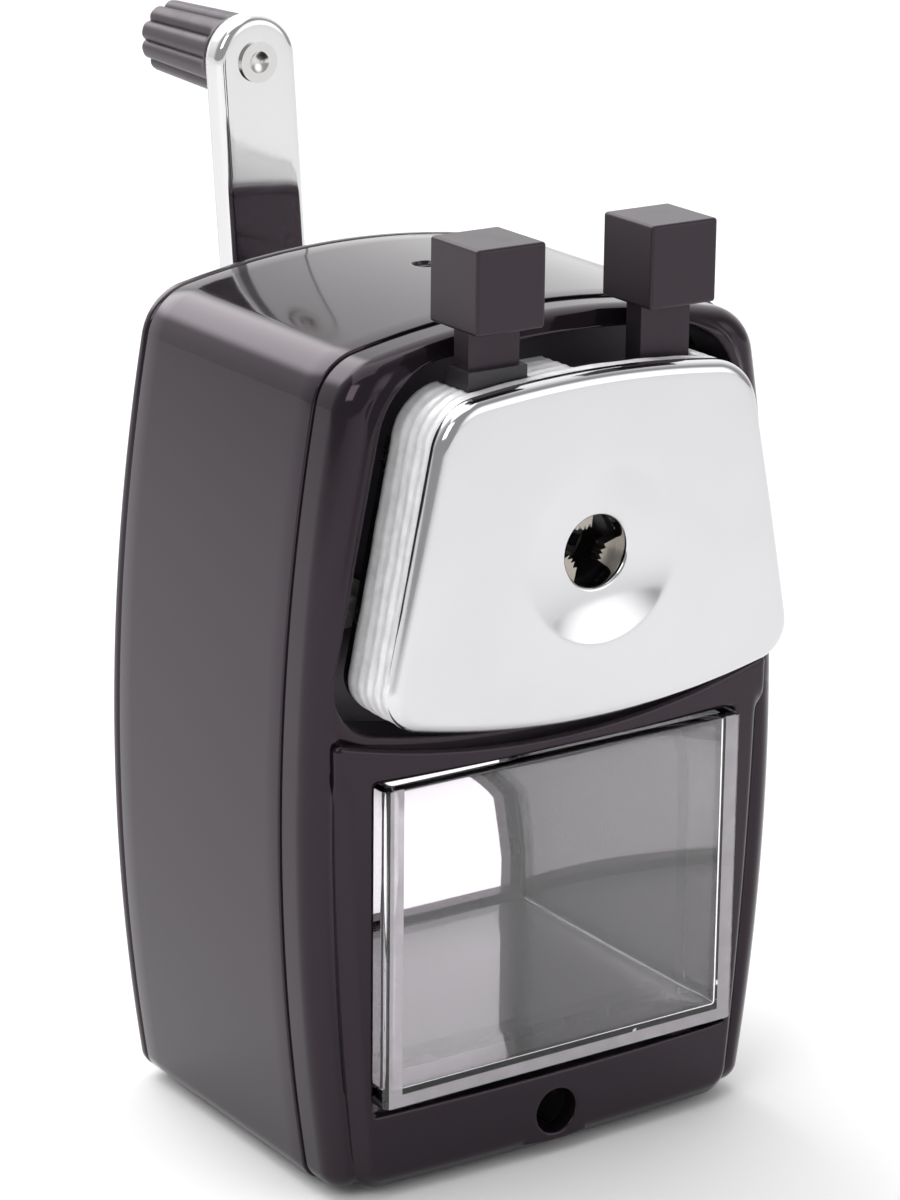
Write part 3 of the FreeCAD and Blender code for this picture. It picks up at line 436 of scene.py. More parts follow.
# ---- surfaces -------------------------------------------------------------------------------
@dataclass
class Surface:
    """Points in millimetres and faces of three, four or more corners."""

    points: Array
    faces: List[Array]

    def welded(self) -> "Surface":
        """The same surface with points that coincide made one."""
        keys = np.round(self.points, 4)
        _, first, back = np.unique(keys, axis=0, return_index=True, return_inverse=True)
        back = back.reshape(-1)
        return Surface(self.points[first], [back[f] for f in self.faces])

    def rim_edges(self) -> Array:
        """Edges that only one face uses, in that face's direction."""
        starts = np.concatenate([f.reshape(-1) for f in self.faces])
        ends = np.concatenate([np.roll(f, -1, axis=1).reshape(-1) for f in self.faces])
        keep = starts != ends
        edges = np.stack([starts[keep], ends[keep]], axis=1)
        _, index, count = np.unique(np.sort(edges, axis=1), axis=0, return_index=True,
                                    return_counts=True)
        return edges[index[count == 1]]

    def closed_back(self, depth: Callable[[Array], Array]) -> "Surface":
        """Close the surface with its own copy behind it and walls round every rim.

        Args:
            depth: gives the copy's y for points (n, 3).
        Returns:
            The closed surface.
        """
        base = self.welded()
        count = len(base.points)
        copy = base.points.copy()
        copy[:, 1] = depth(base.points)
        edges = base.rim_edges()
        walls = np.stack([edges[:, 1], edges[:, 0], edges[:, 0] + count, edges[:, 1] + count],
                         axis=1)
        faces = base.faces + [f[:, ::-1] + count for f in base.faces] + [walls]
        return Surface(np.concatenate([base.points, copy]), faces)


def joined(parts: Sequence[Surface]) -> Surface:
    """Several surfaces as one, in order.

    Args:
        parts: the surfaces.
    Returns:
        One surface with all their points and faces.
    """
    points, faces, start = [], [], 0
    for part in parts:
        points.append(part.points)
        faces.extend(f + start for f in part.faces)
        start += len(part.points)
    return Surface(np.concatenate(points), faces)


def grid(points: Array, wrap_rows: bool = False, wrap_columns: bool = False,
         keep: Optional[Array] = None) -> Surface:
    """Quads between the points of a rectangular array.

    Args:
        points: array (rows, columns, 3).
        wrap_rows: whether the last row meets the first.
        wrap_columns: whether the last column meets the first.
        keep: which cells to keep, as an array of true and false by row and column.
    Returns:
        The surface.
    """
    rows, columns = points.shape[:2]
    index = np.arange(rows * columns).reshape(rows, columns)
    if wrap_rows:
        index = np.concatenate([index, index[:1]])
    if wrap_columns:
        index = np.concatenate([index, index[:, :1]], axis=1)
    quads = np.stack([index[:-1, :-1], index[:-1, 1:], index[1:, 1:], index[1:, :-1]], axis=-1)
    if keep is not None:
        quads = quads[keep]
    return Surface(points.reshape(-1, 3), [quads.reshape(-1, 4)])


def fan(loop: Array) -> Surface:
    """A closed loop filled with triangles about its middle.

    Args:
        loop: points (n, 3).
    Returns:
        The surface.
    """
    count = len(loop)
    points = np.concatenate([loop, loop.mean(axis=0, keepdims=True)])
    ring = np.arange(count)
    return Surface(points, [np.stack([ring, np.roll(ring, -1), np.full(count, count)], axis=1)])


def smooth(low: float, high: float, value: Array) -> Array:
    """A value's smooth step: 0 below low, 1 above high, 3t^2 - 2t^3 between."""
    share = np.clip((value - low) / (high - low), 0.0, 1.0)
    return share * share * (3.0 - 2.0 * share)


def quarter_round(radius: float, distance: Array) -> Array:
    """How far a rounded edge has dropped at a distance in from it: r - sqrt(r^2 - (r-d)^2)."""
    inward = np.clip(radius - distance, 0.0, radius)
    return radius - np.sqrt(np.maximum(radius * radius - inward * inward, 0.0))


def bend(radius: float, count: int, first: int = 0) -> List[Tuple[float, float]]:
    """A quarter round's steps: r (1 - sin a) and r (1 - cos a) as a grows to a right angle."""
    return [(radius * (1.0 - math.sin(a)), radius * (1.0 - math.cos(a)))
            for a in np.linspace(0.0, math.pi / 2.0, count)[first:]]


def ease(count: int) -> Array:
    """Shares from 0 to 1, closer together near both ends, as half a turn of cosine gives."""
    return (1.0 - np.cos(np.linspace(0.0, math.pi, count))) / 2.0


def distance_to(points: Array, loop: Array) -> Array:
    """Each point's distance to a closed polyline in the XZ plane.

    Args:
        points: array (n, 2).
        loop: the polyline's corners (m, 2).
    Returns:
        The distances (n,).
    """
    ends = np.roll(loop, -1, axis=0)
    runs = ends - loop
    lengths = np.maximum((runs ** 2).sum(axis=1), 1e-12)
    shortest = np.full(len(points), np.inf)
    for block in np.array_split(np.arange(len(loop)), 8):
        offset = points[:, None, :] - loop[None, block]
        share = np.clip((offset * runs[None, block]).sum(axis=2) / lengths[None, block], 0.0, 1.0)
        gap = offset - share[..., None] * runs[None, block]
        shortest = np.minimum(shortest, np.sqrt((gap ** 2).sum(axis=2)).min(axis=1))
    return shortest


@dataclass(frozen=True)
class Outline:
    """A closed outline of arcs with rounded corners in the XZ plane.

    Corners run anticlockwise as seen from the front; side i bows from corner i through
    middle i to corner i + 1. A corner's round stands on the two circles moved inwards by
    its radius, so every parallel outline has the same corner centres.
    """

    corners: Tuple[Point2, ...]
    middles: Tuple[Point2, ...]
    radii: Tuple[float, ...]

    def circles(self) -> List[Tuple[Array, float, float]]:
        """Each side's circle: centre, radius, and 1 if the centre is inside, else -1."""
        found = []
        count = len(self.corners)
        for i in range(count):
            a, c = np.array(self.corners[i], float), np.array(self.corners[(i + 1) % count], float)
            b = np.array(self.middles[i], float)
            run = c - a
            inward = np.array([-run[1], run[0]]) / np.hypot(*run)
            if abs(np.dot(b - a, inward)) < 1e-3:
                b = (a + c) / 2.0 - inward * 1e-3
            system = 2.0 * np.array([b - a, c - a])
            centre = np.linalg.solve(system, np.array([b @ b - a @ a, c @ c - a @ a]))
            sign = 1.0 if np.dot(centre - b, inward) > 0 else -1.0
            found.append((centre, float(np.hypot(*(centre - a))), sign))
        return found

    def rounds(self) -> List[Array]:
        """Each corner's centre of rounding, where two inset circles meet."""
        circles, centres = self.circles(), []
        for i, radius in enumerate(self.radii):
            (c0, r0, s0), (c1, r1, s1) = circles[i - 1], circles[i]
            r0, r1 = r0 - s0 * radius, r1 - s1 * radius
            span = c1 - c0
            gap = float(np.hypot(*span))
            along = (gap * gap + r0 * r0 - r1 * r1) / (2.0 * gap)
            across = math.sqrt(max(r0 * r0 - along * along, 0.0))
            unit = span / gap
            side = np.array([-unit[1], unit[0]])
            options = [c0 + unit * along + side * across, c0 + unit * along - side * across]
            corner = np.array(self.corners[i], float)
            centres.append(min(options, key=lambda p: float(np.hypot(*(p - corner)))))
        return centres

    def sides(self) -> List[Tuple[Array, float, float, float, float]]:
        """Each side between its rounds: centre, radius, sign, first angle and last angle."""
        centres, spans = self.rounds(), []
        for i, (centre, radius, sign) in enumerate(self.circles()):
            first = centres[i] - centre
            last = centres[(i + 1) % len(centres)] - centre
            start = math.atan2(first[1], first[0])
            turn = math.atan2(last[1], last[0]) - start
            turn = (turn + math.pi) % (2.0 * math.pi) - math.pi
            spans.append((centre, radius, sign, start, start + turn))
        return spans

    def share_at(self, side: int, x: Optional[float] = None, z: Optional[float] = None) -> float:
        """Where along a side a given x or z is reached.

        Args:
            side: the side's number.
            x: the x looked for, or None.
            z: the z looked for, if x is None.
        Returns:
            The share, from 0 to 1.
        """
        centre, radius, _, start, end = self.sides()[side]
        shares = np.linspace(0.0, 1.0, 4001)
        angles = start + (end - start) * shares
        if x is not None:
            values, wanted = centre[0] + radius * np.cos(angles), x
        else:
            values, wanted = centre[1] + radius * np.sin(angles), z
        if values[0] > values[-1]:
            values, shares = values[::-1], shares[::-1]
        return float(np.interp(wanted, values, shares))

    def loop(self, per_side: int = 40, per_corner: int = 12,
             stops: Optional[Dict[int, Array]] = None) -> Tuple[Array, Array]:
        """Points round the outline and the outward direction at each.

        Args:
            per_side: points on a side that has no stops of its own.
            per_corner: points on a round.
            stops: shares from 0 up to 1 for some sides, the first of them 0.
        Returns:
            Points (n, 2) and unit normals (n, 2); corner, side, corner, side and so on.
        """
        points, normals = [], []
        sides, centres = self.sides(), self.rounds()
        for i, (centre, radius, sign, start, end) in enumerate(sides):
            before = sides[i - 1]
            from_angle, to_angle = before[4], start
            if before[2] < 0:
                from_angle += math.pi
            if sign < 0:
                to_angle += math.pi
            turn = (to_angle - from_angle) % (2.0 * math.pi)
            angles = from_angle + turn * np.arange(per_corner) / per_corner
            normal = np.stack([np.cos(angles), np.sin(angles)], axis=1)
            points.append(centres[i] + self.radii[i] * normal)
            normals.append(normal)
            shares = np.arange(per_side) / per_side
            if stops and i in stops:
                shares = stops[i]
            angles = start + (end - start) * shares
            direction = np.stack([np.cos(angles), np.sin(angles)], axis=1)
            points.append(centre + radius * direction)
            normals.append(direction * sign)
        return np.concatenate(points), np.concatenate(normals)


def at_depth(flat: Array, y: object) -> Array:
    """Points (n, 2) of the XZ plane placed at one depth or at a depth each, as (n, 3)."""
    return np.stack([flat[:, 0], np.broadcast_to(y, len(flat)), flat[:, 1]], axis=1)


def circle(radius: float, turn: Array) -> Array:
    """Points (n, 2) at the given angles on a circle about the origin."""
    return radius * np.stack([np.cos(turn), np.sin(turn)], axis=1)


def ring_at(points: Array, normals: Array, offset: float, y: float) -> Array:
    """A parallel outline placed at a depth.

    Args:
        points: the outline (n, 2).
        normals: its outward directions (n, 2).
        offset: how far outwards it is moved.
        y: its depth.
    Returns:
        Points (n, 3).
    """
    return at_depth(points + offset * normals, y)


# ---- making pieces --------------------------------------------------------------------------
class Bench:
    """Turns surfaces into finished pieces and reports them."""

    def __init__(self) -> None:
        """Start with nothing made."""
        self.made: List[bpy.types.Object] = []

    def mesh(self, name: str, surface: Surface, inside: Optional[Vector]) -> bpy.types.Mesh:
        """A welded mesh in metres with its faces turned outwards.

        Args:
            name: the mesh's name.
            surface: its points and faces.
            inside: a point that an open shell's faces look away from, in metres.
        Returns:
            The mesh.
        """
        mesh = bpy.data.meshes.new(name)
        faces = [face for block in surface.faces for face in block.tolist()]
        mesh.from_pydata((surface.points * MM).tolist(), [], faces)
        work = bmesh.new()
        work.from_mesh(mesh)
        bmesh.ops.remove_doubles(work, verts=work.verts, dist=2e-6)
        bmesh.ops.dissolve_degenerate(work, dist=1e-6, edges=work.edges)
        bmesh.ops.recalc_face_normals(work, faces=work.faces)
        if inside is not None:
            lean = sum((f.calc_center_median() - inside).dot(f.normal) * f.calc_area()
                       for f in work.faces)
            if lean < 0:
                bmesh.ops.reverse_faces(work, faces=work.faces)
        work.to_mesh(mesh)
        work.free()
        return mesh

    def piece(self, name: str, surface: Surface, finish: Finish, rides: Rides,
              replaces: Sequence[str] = (), slot: str = "", sharp: float = 35.0,
              inside: Optional[Vector] = None) -> bpy.types.Object:
        """Make one piece.

        Args:
            name: its name.
            surface: its shape.
            finish: its material.
            rides: the moving group it belongs to.
            replaces: the CAD nodes it stands for.
            slot: the record's material slot; not used.
            sharp: angle in degrees past which an edge stays sharp.
            inside: a point that an open shell's faces look away from, in metres.
        Returns:
            The object.
        """
        mesh = self.mesh(name, surface, inside)
        mesh.polygons.foreach_set("use_smooth", [True] * len(mesh.polygons))
        mesh.set_sharp_from_angle(angle=math.radians(sharp))
        mesh.materials.append(finish.material())
        made = bpy.data.objects.new(name, mesh)
        bpy.context.scene.collection.objects.link(made)
        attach(made, rides.value)
        if replaces:
            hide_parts(*replaces)
        self.made.append(made)
        LOG.info("%s: %d faces on %s", name, len(mesh.polygons), rides.value)
        return made

    def second_finish(self, made: bpy.types.Object, finish: Finish,
                      chosen: Callable[[Array, Array], Array]) -> None:
        """Give some of a piece's faces another finish.

        Args:
            made: the piece.
            finish: the other finish.
            chosen: says which faces, from their middles in millimetres and normals (n, 3).
        """
        faces = made.data.polygons
        middles, normals = np.empty((2, len(faces) * 3), np.float32)
        faces.foreach_get("center", middles)
        faces.foreach_get("normal", normals)
        made.data.materials.append(finish.material())
        picked = chosen(middles.reshape(-1, 3) / MM, normals.reshape(-1, 3))
        faces.foreach_set("material_index", picked.astype(np.int32))

    def thicken(self, made: bpy.types.Object, wall: float, even: bool) -> None:
        """Give an open sheet its wall, inwards.

        Args:
            made: the piece.
            wall: the wall in millimetres.
            even: whether the wall keeps its thickness round sharp bends.
        """
        solid = made.modifiers.new("wall", "SOLIDIFY")
        solid.thickness = wall * MM
        solid.offset = -1.0
        solid.use_even_offset = even


class Assembly(ABC):
    """A sub-assembly that builds and dresses its own pieces."""

    @abstractmethod
    def build(self, bench: Bench) -> None:
        """Make every piece on the bench."""


BODY_OUTLINE = Outline(
    corners=((34.3, 1.0), (32.2, 113.4), (-32.2, 113.4), (-34.3, 1.0)),
    middles=((38.4, 56.0), (0.0, 117.6), (-38.4, 56.0), (0.0, 1.0)),
    radii=(3.5, 8.0, 8.0, 3.5))

COVER_OUTLINE = Outline(
    corners=((32.4, 69.4), (24.0, 109.8), (-24.0, 109.8), (-32.4, 69.4)),
    middles=((28.2, 89.6), (0.0, 111.8), (-28.2, 89.6), (0.0, 65.2)),
    radii=(5.0, 7.5, 7.5, 5.0))


BLOCK_OUTLINE = Outline(
    corners=((30.9, 1.25), (34.75, 65.5), (-34.75, 65.5), (-30.9, 1.25)),
    middles=((33.6, 32.7), (0.0, 60.9), (-33.6, 32.7), (0.0, 1.25)),
    radii=(4.2, 0.9, 0.9, 4.2))

RECESS_MIDDLE_Z = 88.0


def around(value: float, steps: Sequence[float]) -> List[float]:
    """A value with points to both sides of it at the given distances."""
    return [value - s for s in reversed(steps)] + [value] + [value + s for s in steps]


@dataclass
class Hood(Assembly):
    """The lacquered sheet hood: an outline carried from front to back, with a beaded rear edge."""

    front: float = -17.8
    rear: float = 26.0
    wall: float = 1.2
    edge_round: float = 0.25
    bead_start: float = 24.2
    bead: float = 0.75
    crown_steps: Tuple[float, ...] = (24.0, 20.0, 16.0, 12.0, 8.0, 5.0)
    groove_depth: float = 0.28
    hem_half: float = 30.8
    hem_z: float = 1.0
    screw_y: float = 6.5
    dimple_radius: float = 1.85
    dimple_depth: float = 1.05
    dimple_steps: Tuple[float, ...] = (0.5, 1.0, 1.4, 1.65, 1.8, 1.9, 2.05, 2.3, 2.8, 3.6)

    def profile(self) -> Array:
        """Offset and y round the sheet's section: outside, bead, inside and front edge."""
        r = self.edge_round
        front = [(-s, self.front + c) for s, c in bend(r, 5)]
        plain = np.linspace(self.front + r, self.bead_start - 0.45, 14)[1:]
        fine = np.array(around(self.screw_y, self.dimple_steps))
        ys = np.unique(np.concatenate([plain, fine]))
        outside = [(0.0, float(y)) for y in ys]
        y, d = self.bead_start, self.groove_depth
        groove = [(-0.04, y - 0.3), (-d, y - 0.12), (-d, y + 0.06), (-0.1, y + 0.22),
                  (-0.02, y + 0.42), (0.0, y + 0.7)]
        end = [(-c, self.rear - s) for s, c in bend(self.bead, 6)]
        inside = [(-self.wall, self.rear - 0.05), (-self.wall, self.front)]
        return np.array(front + outside + groove + end + inside)

    def build(self, bench: Bench) -> None:
        """Carry the section round the outline and sink the screw's dimple into its crown."""
        coarse, fine = self.crown_steps, around(0.0, self.dimple_steps)
        top = np.array([0.0] + [BODY_OUTLINE.share_at(1, x=x) for x in
                                (*coarse, *fine[::-1], *(-x for x in coarse[::-1]))])
        points, normals = BODY_OUTLINE.loop(56, 16, {1: top})
        foot = np.nonzero((points[:, 1] < self.hem_z + 0.001)
                          & (np.abs(points[:, 0]) < self.hem_half))[0]
        first, last = foot.max() + 1, foot.min()
        order = np.arange(first, first + len(points) - (foot.max() - foot.min() + 1)) % len(points)
        points, normals = points[order], normals[order]
        ends = np.array([[self.hem_half, self.hem_z], [-self.hem_half, self.hem_z]])
        points = np.concatenate([ends[:1], points, ends[1:]])
        down = np.array([[0.0, -1.0]])
        normals = np.concatenate([down, normals, down])
        profile = self.profile()
        rings = np.stack([ring_at(points, normals, o, y) for o, y in profile])
        reach = np.hypot(rings[..., 0], rings[..., 1] - self.screw_y)
        outer = (profile[:, 0] > -0.01)[:, None] & (rings[..., 2] > 110.0)
        rings[..., 2] -= np.where(outer, self.dimple_depth
                                  * (1.0 - smooth(self.dimple_radius - 0.35,
                                                  self.dimple_radius + 0.1, reach)), 0.0)
        sheet = grid(rings, wrap_rows=True)
        caps = [fan(rings[:, 0]), fan(rings[:, -1])]
        bench.piece("hood", joined([sheet] + caps), HOOD_LACQUER, Rides.CASE,
                    ["body_shell"], "hood_paint", sharp=40.0)


@dataclass
class FrontFrame(Assembly):
    """The gloss front moulding: a rolled rim with a recess, and the crowned drawer surround."""

    inset: float = 0.35
    face: float = -24.9
    back: float = -17.7
    roll: float = 3.6
    valley: float = 0.45
    lip: float = 0.55
    recess_gap: float = 3.0
    split_z: float = 59.4
    opening_half: float = 29.1
    opening_low: float = 12.4
    opening_high: float = 59.2
    block_mid: float = -27.3
    block_side: float = -25.8
    block_half: float = 36.0
    block_back: float = -22.0
    clamp_z: float = 6.5
    clamp_radius: float = 3.2
    clamp_wall: Tuple[float, ...] = (-26.0, -24.4, -20.0)
    window_half: float = 5.6
    window_low: float = 2.3
    window_high: float = 10.9
    gap_half: float = 5.2
    gap_span: Point2 = (2.0, 20.0)
    foot_corner: Point2 = (33.0, 2.0)
    rows: int = 30
    side_steps: int = 30
    roof_steps: int = 40
    corner_steps: int = 14
    block_steps: int = 44

    def rim_face(self, flat: Array) -> Array:
        """Depth of the rim at points (n, 2).

        A quarter round rolls the outer edge off, a shallow valley runs inside it, and a low
        lip with a small round stands at the recess.
        """
        body, normals = BODY_OUTLINE.loop(160, 24)
        body = body - self.inset * normals
        recess, outward = COVER_OUTLINE.loop(80, 24)
        recess = recess + self.recess_gap * outward
        to_body, to_recess = distance_to(flat, body), distance_to(flat, recess)
        y = self.face + quarter_round(self.roll, to_body)
        y = y + self.valley * smooth(2.4, 4.6, to_body) * smooth(1.2, 2.8, to_recess)
        raised = (1.0 - smooth(0.9, 1.9, to_recess)) * smooth(66.0, 74.0, flat[:, 1])
        y = y - self.lip * raised * smooth(1.2, 3.4, to_body)
        return y + quarter_round(0.45, to_recess)

    def rim(self) -> Surface:
        """The rim from the recess and the drawer's opening out to the body's outline.

        Above the split, rays from the cover's middle run from the recess to the outline;
        below it, straight rungs run from the opening to the outline. Both meet on one line.
        """
        shares = ease(self.rows)
        z = self.split_z
        right, left = BODY_OUTLINE.share_at(0, z=z), BODY_OUTLINE.share_at(2, z=z)
        steps, corner = self.side_steps, self.corner_steps
        stops = {side: np.concatenate([np.linspace(0, split, steps, endpoint=False),
                                       np.linspace(split, 1, steps, endpoint=False)])
                 for side, split in ((0, right), (2, left))}
        points, normals = BODY_OUTLINE.loop(self.roof_steps, corner, stops)
        outer = points - self.inset * normals
        low_right = corner + steps
        low_left = 3 * corner + 3 * steps + self.roof_steps
        outer[low_right, 1] = outer[low_left, 1] = z
        upper = outer[low_right:low_left + 1]
        half = outer[low_right, 0]
        rungs = self.opening_half + 0.2 + (half - self.opening_half - 0.2) * shares
        line = np.concatenate([-rungs[::-1][1:], np.linspace(-rungs[0], rungs[0], 40)[1:-1],
                               rungs[:-1]])
        bottom = np.stack([line, np.full(len(line), z)], axis=1)
        border = np.concatenate([upper, bottom])
        centre = np.array([0.0, RECESS_MIDDLE_Z])
        recess, outward = COVER_OUTLINE.loop(80, 24)
        recess = recess + self.recess_gap * outward
        angle = np.arctan2(recess[:, 1] - centre[1], recess[:, 0] - centre[0])
        order = np.argsort(angle)
        reach = np.hypot(*(recess - centre).T)
        wanted = np.arctan2(border[:, 1] - centre[1], border[:, 0] - centre[0])
        radius = np.interp(wanted, angle[order], reach[order], period=2.0 * math.pi)
        inner = centre + radius[:, None] * circle(1.0, wanted)
        ring = inner[None] + (border - inner)[None] * shares[:, None, None]
        lower = np.concatenate([outer[low_left:], outer[:low_right + 1]])
        a, b = self.opening_half + 0.2, self.opening_low - 0.2
        marks = np.array([[-a, z], [-a, b], [a, b], [a, z]])
        foot_x, foot_z = self.foot_corner
        bends = [0, *(int(np.argmin(np.hypot(lower[:, 0] - x, lower[:, 1] - foot_z)))
                      for x in (-foot_x, foot_x)), len(lower) - 1]
        chain = np.concatenate([
            marks[k] + (marks[k + 1] - marks[k])
            * np.linspace(0, 1, bends[k + 1] - bends[k], endpoint=False)[:, None]
            for k in range(3)] + [marks[3:]])
        band = chain[None] + (lower - chain)[None] * shares[:, None, None]
        cells = (band[:-1, :-1] + band[1:, 1:]) / 2.0
        low, high = self.gap_span
        keep = ~((np.abs(cells[..., 0]) < self.gap_half) & (cells[..., 1] > low)
                 & (cells[..., 1] < high))
        sheets = []
        for flat, wrap, kept in ((ring, True, None), (band, False, keep)):
            depth = self.rim_face(flat.reshape(-1, 2)).reshape(flat.shape[:2])
            shape = np.stack([flat[..., 0], depth, flat[..., 1]], axis=-1)
            sheets.append(grid(shape, wrap_columns=wrap, keep=kept))
        return joined(sheets).closed_back(lambda p: np.full(len(p), self.back))

    def block_face(self, flat: Array) -> Array:
        """Depth of the drawer surround: a parabola across, crowned toward its middle."""
        bow = (flat[:, 0] / self.block_half) ** 2
        return self.block_mid + (self.block_side - self.block_mid) * bow

    def block(self) -> Surface:
        """The drawer surround with its softened border, opening and clamp hole."""
        a, low, high = self.opening_half, self.opening_low, self.opening_high
        hole = Outline(corners=((a, low), (a, high), (-a, high), (-a, low)),
                       middles=((a, 30.0), (0.0, high), (-a, 30.0), (0.0, low)),
                       radii=(0.7, 0.7, 0.7, 0.7))
        w = self.window_half
        span = np.concatenate([np.linspace(0, 1, 14, endpoint=False)[1:],
                               1.0 + np.linspace(0, 1, 12), 2.0 + np.linspace(0, 1, 14)[1:-1]])

        def bottom(shape: Outline) -> Array:
            """Shares along the bottom that put the same columns beside the clamp hole."""
            ends = [shape.share_at(3, x=-w), shape.share_at(3, x=w)]
            return np.concatenate([[0.0], np.interp(span, [0, 1, 2, 3], [0.0, *ends, 1.0])])

        steps, corner = self.block_steps, self.corner_steps
        outer, _ = BLOCK_OUTLINE.loop(steps, corner, {3: bottom(BLOCK_OUTLINE)})
        inner, _ = hole.loop(steps, corner, {3: bottom(hole)})
        shares = np.concatenate([[0.0, 0.008, 0.03, 0.07], np.linspace(0.12, 0.9, 15),
                                 [0.95, 0.98, 0.995, 1.0]])
        flat = outer[None] + (inner - outer)[None] * shares[:, None, None]
        shape = flat.shape[:2]
        points = flat.reshape(-1, 2)
        to_outer = distance_to(points, outer)
        to_inner = distance_to(points, inner)
        ledge = smooth(57.0, 60.5, points[:, 1])
        soft = 1.5 * (1.0 - smooth(0.0, 2.3, to_outer)) * (1.0 - ledge)
        depth = (self.block_face(points) + soft + quarter_round(0.8, to_outer) * ledge
                 + quarter_round(0.35, to_inner) + 0.8 * (1.0 - ledge)
                 * quarter_round(0.6, to_outer))
        sheet = np.stack([points[:, 0], depth, points[:, 1]], axis=1).reshape(*shape, 3)
        behind_outer, behind_inner = sheet[:1].copy(), sheet[-1:].copy()
        behind_outer[..., 1] = self.block_back
        behind_inner[..., 1] = self.back + 0.05
        rows = np.concatenate([behind_outer, sheet, behind_inner])
        start = 4 * corner + 3 * steps
        columns = np.nonzero(np.abs(outer[start:, 0]) <= w + 1e-6)[0] + start
        c0, c1 = columns.min(), columns.max()
        heights = rows[:, (c0 + c1) // 2, 2]
        r0, r1 = (int(np.argmin(np.abs(heights - z))) for z in (self.window_low, self.window_high))
        keep = np.ones((len(rows) - 1, rows.shape[1]), bool)
        keep[r0:r1, c0:c1] = False
        frame_loop = np.concatenate([rows[r0, c0:c1], rows[r0:r1, c1], rows[r1, c1:c0:-1],
                                     rows[r1:r0:-1, c0]])
        return joined([grid(rows, wrap_columns=True, keep=keep), self.clamp_hole(frame_loop)])

    def clamp_hole(self, border: Array) -> Surface:
        """Rings from a window's border in to the round hole, then back through the wall.

        Args:
            border: the window's points (n, 3).
        Returns:
            The surface.
        """
        flat = border[:, [0, 2]]
        middle = np.array([0.0, self.clamp_z])
        angle = np.arctan2(flat[:, 1] - middle[1], flat[:, 0] - middle[0])
        rim = middle + circle(self.clamp_radius + 0.01, angle)
        shares = np.concatenate([np.linspace(0.0, 0.8, 7), [0.88, 0.94, 0.975, 0.992, 1.0]])
        rings = [border]
        for share in shares[1:]:
            now = flat + (rim - flat) * share
            gap = np.hypot(*(now - middle).T) - self.clamp_radius
            depth = self.block_face(now) + quarter_round(0.4, gap)
            blend = smooth(0.0, 0.3, np.full(len(now), share))
            start = border[:, 1] + (self.block_face(now) - self.block_face(flat))
            depth = depth * blend + start * (1.0 - blend)
            rings.append(at_depth(now, depth))
        rings += [at_depth(rim, y) for y in self.clamp_wall]
        return grid(np.stack(rings), wrap_columns=True)

    def build(self, bench: Bench) -> None:
        """Make rim and surround as one moulding."""
        bench.piece("front_moulding", joined([self.rim(), self.block()]), FRAME_GLOSS,
                    Rides.CASE, ["front_frame"], "frame_gloss", sharp=50.0)


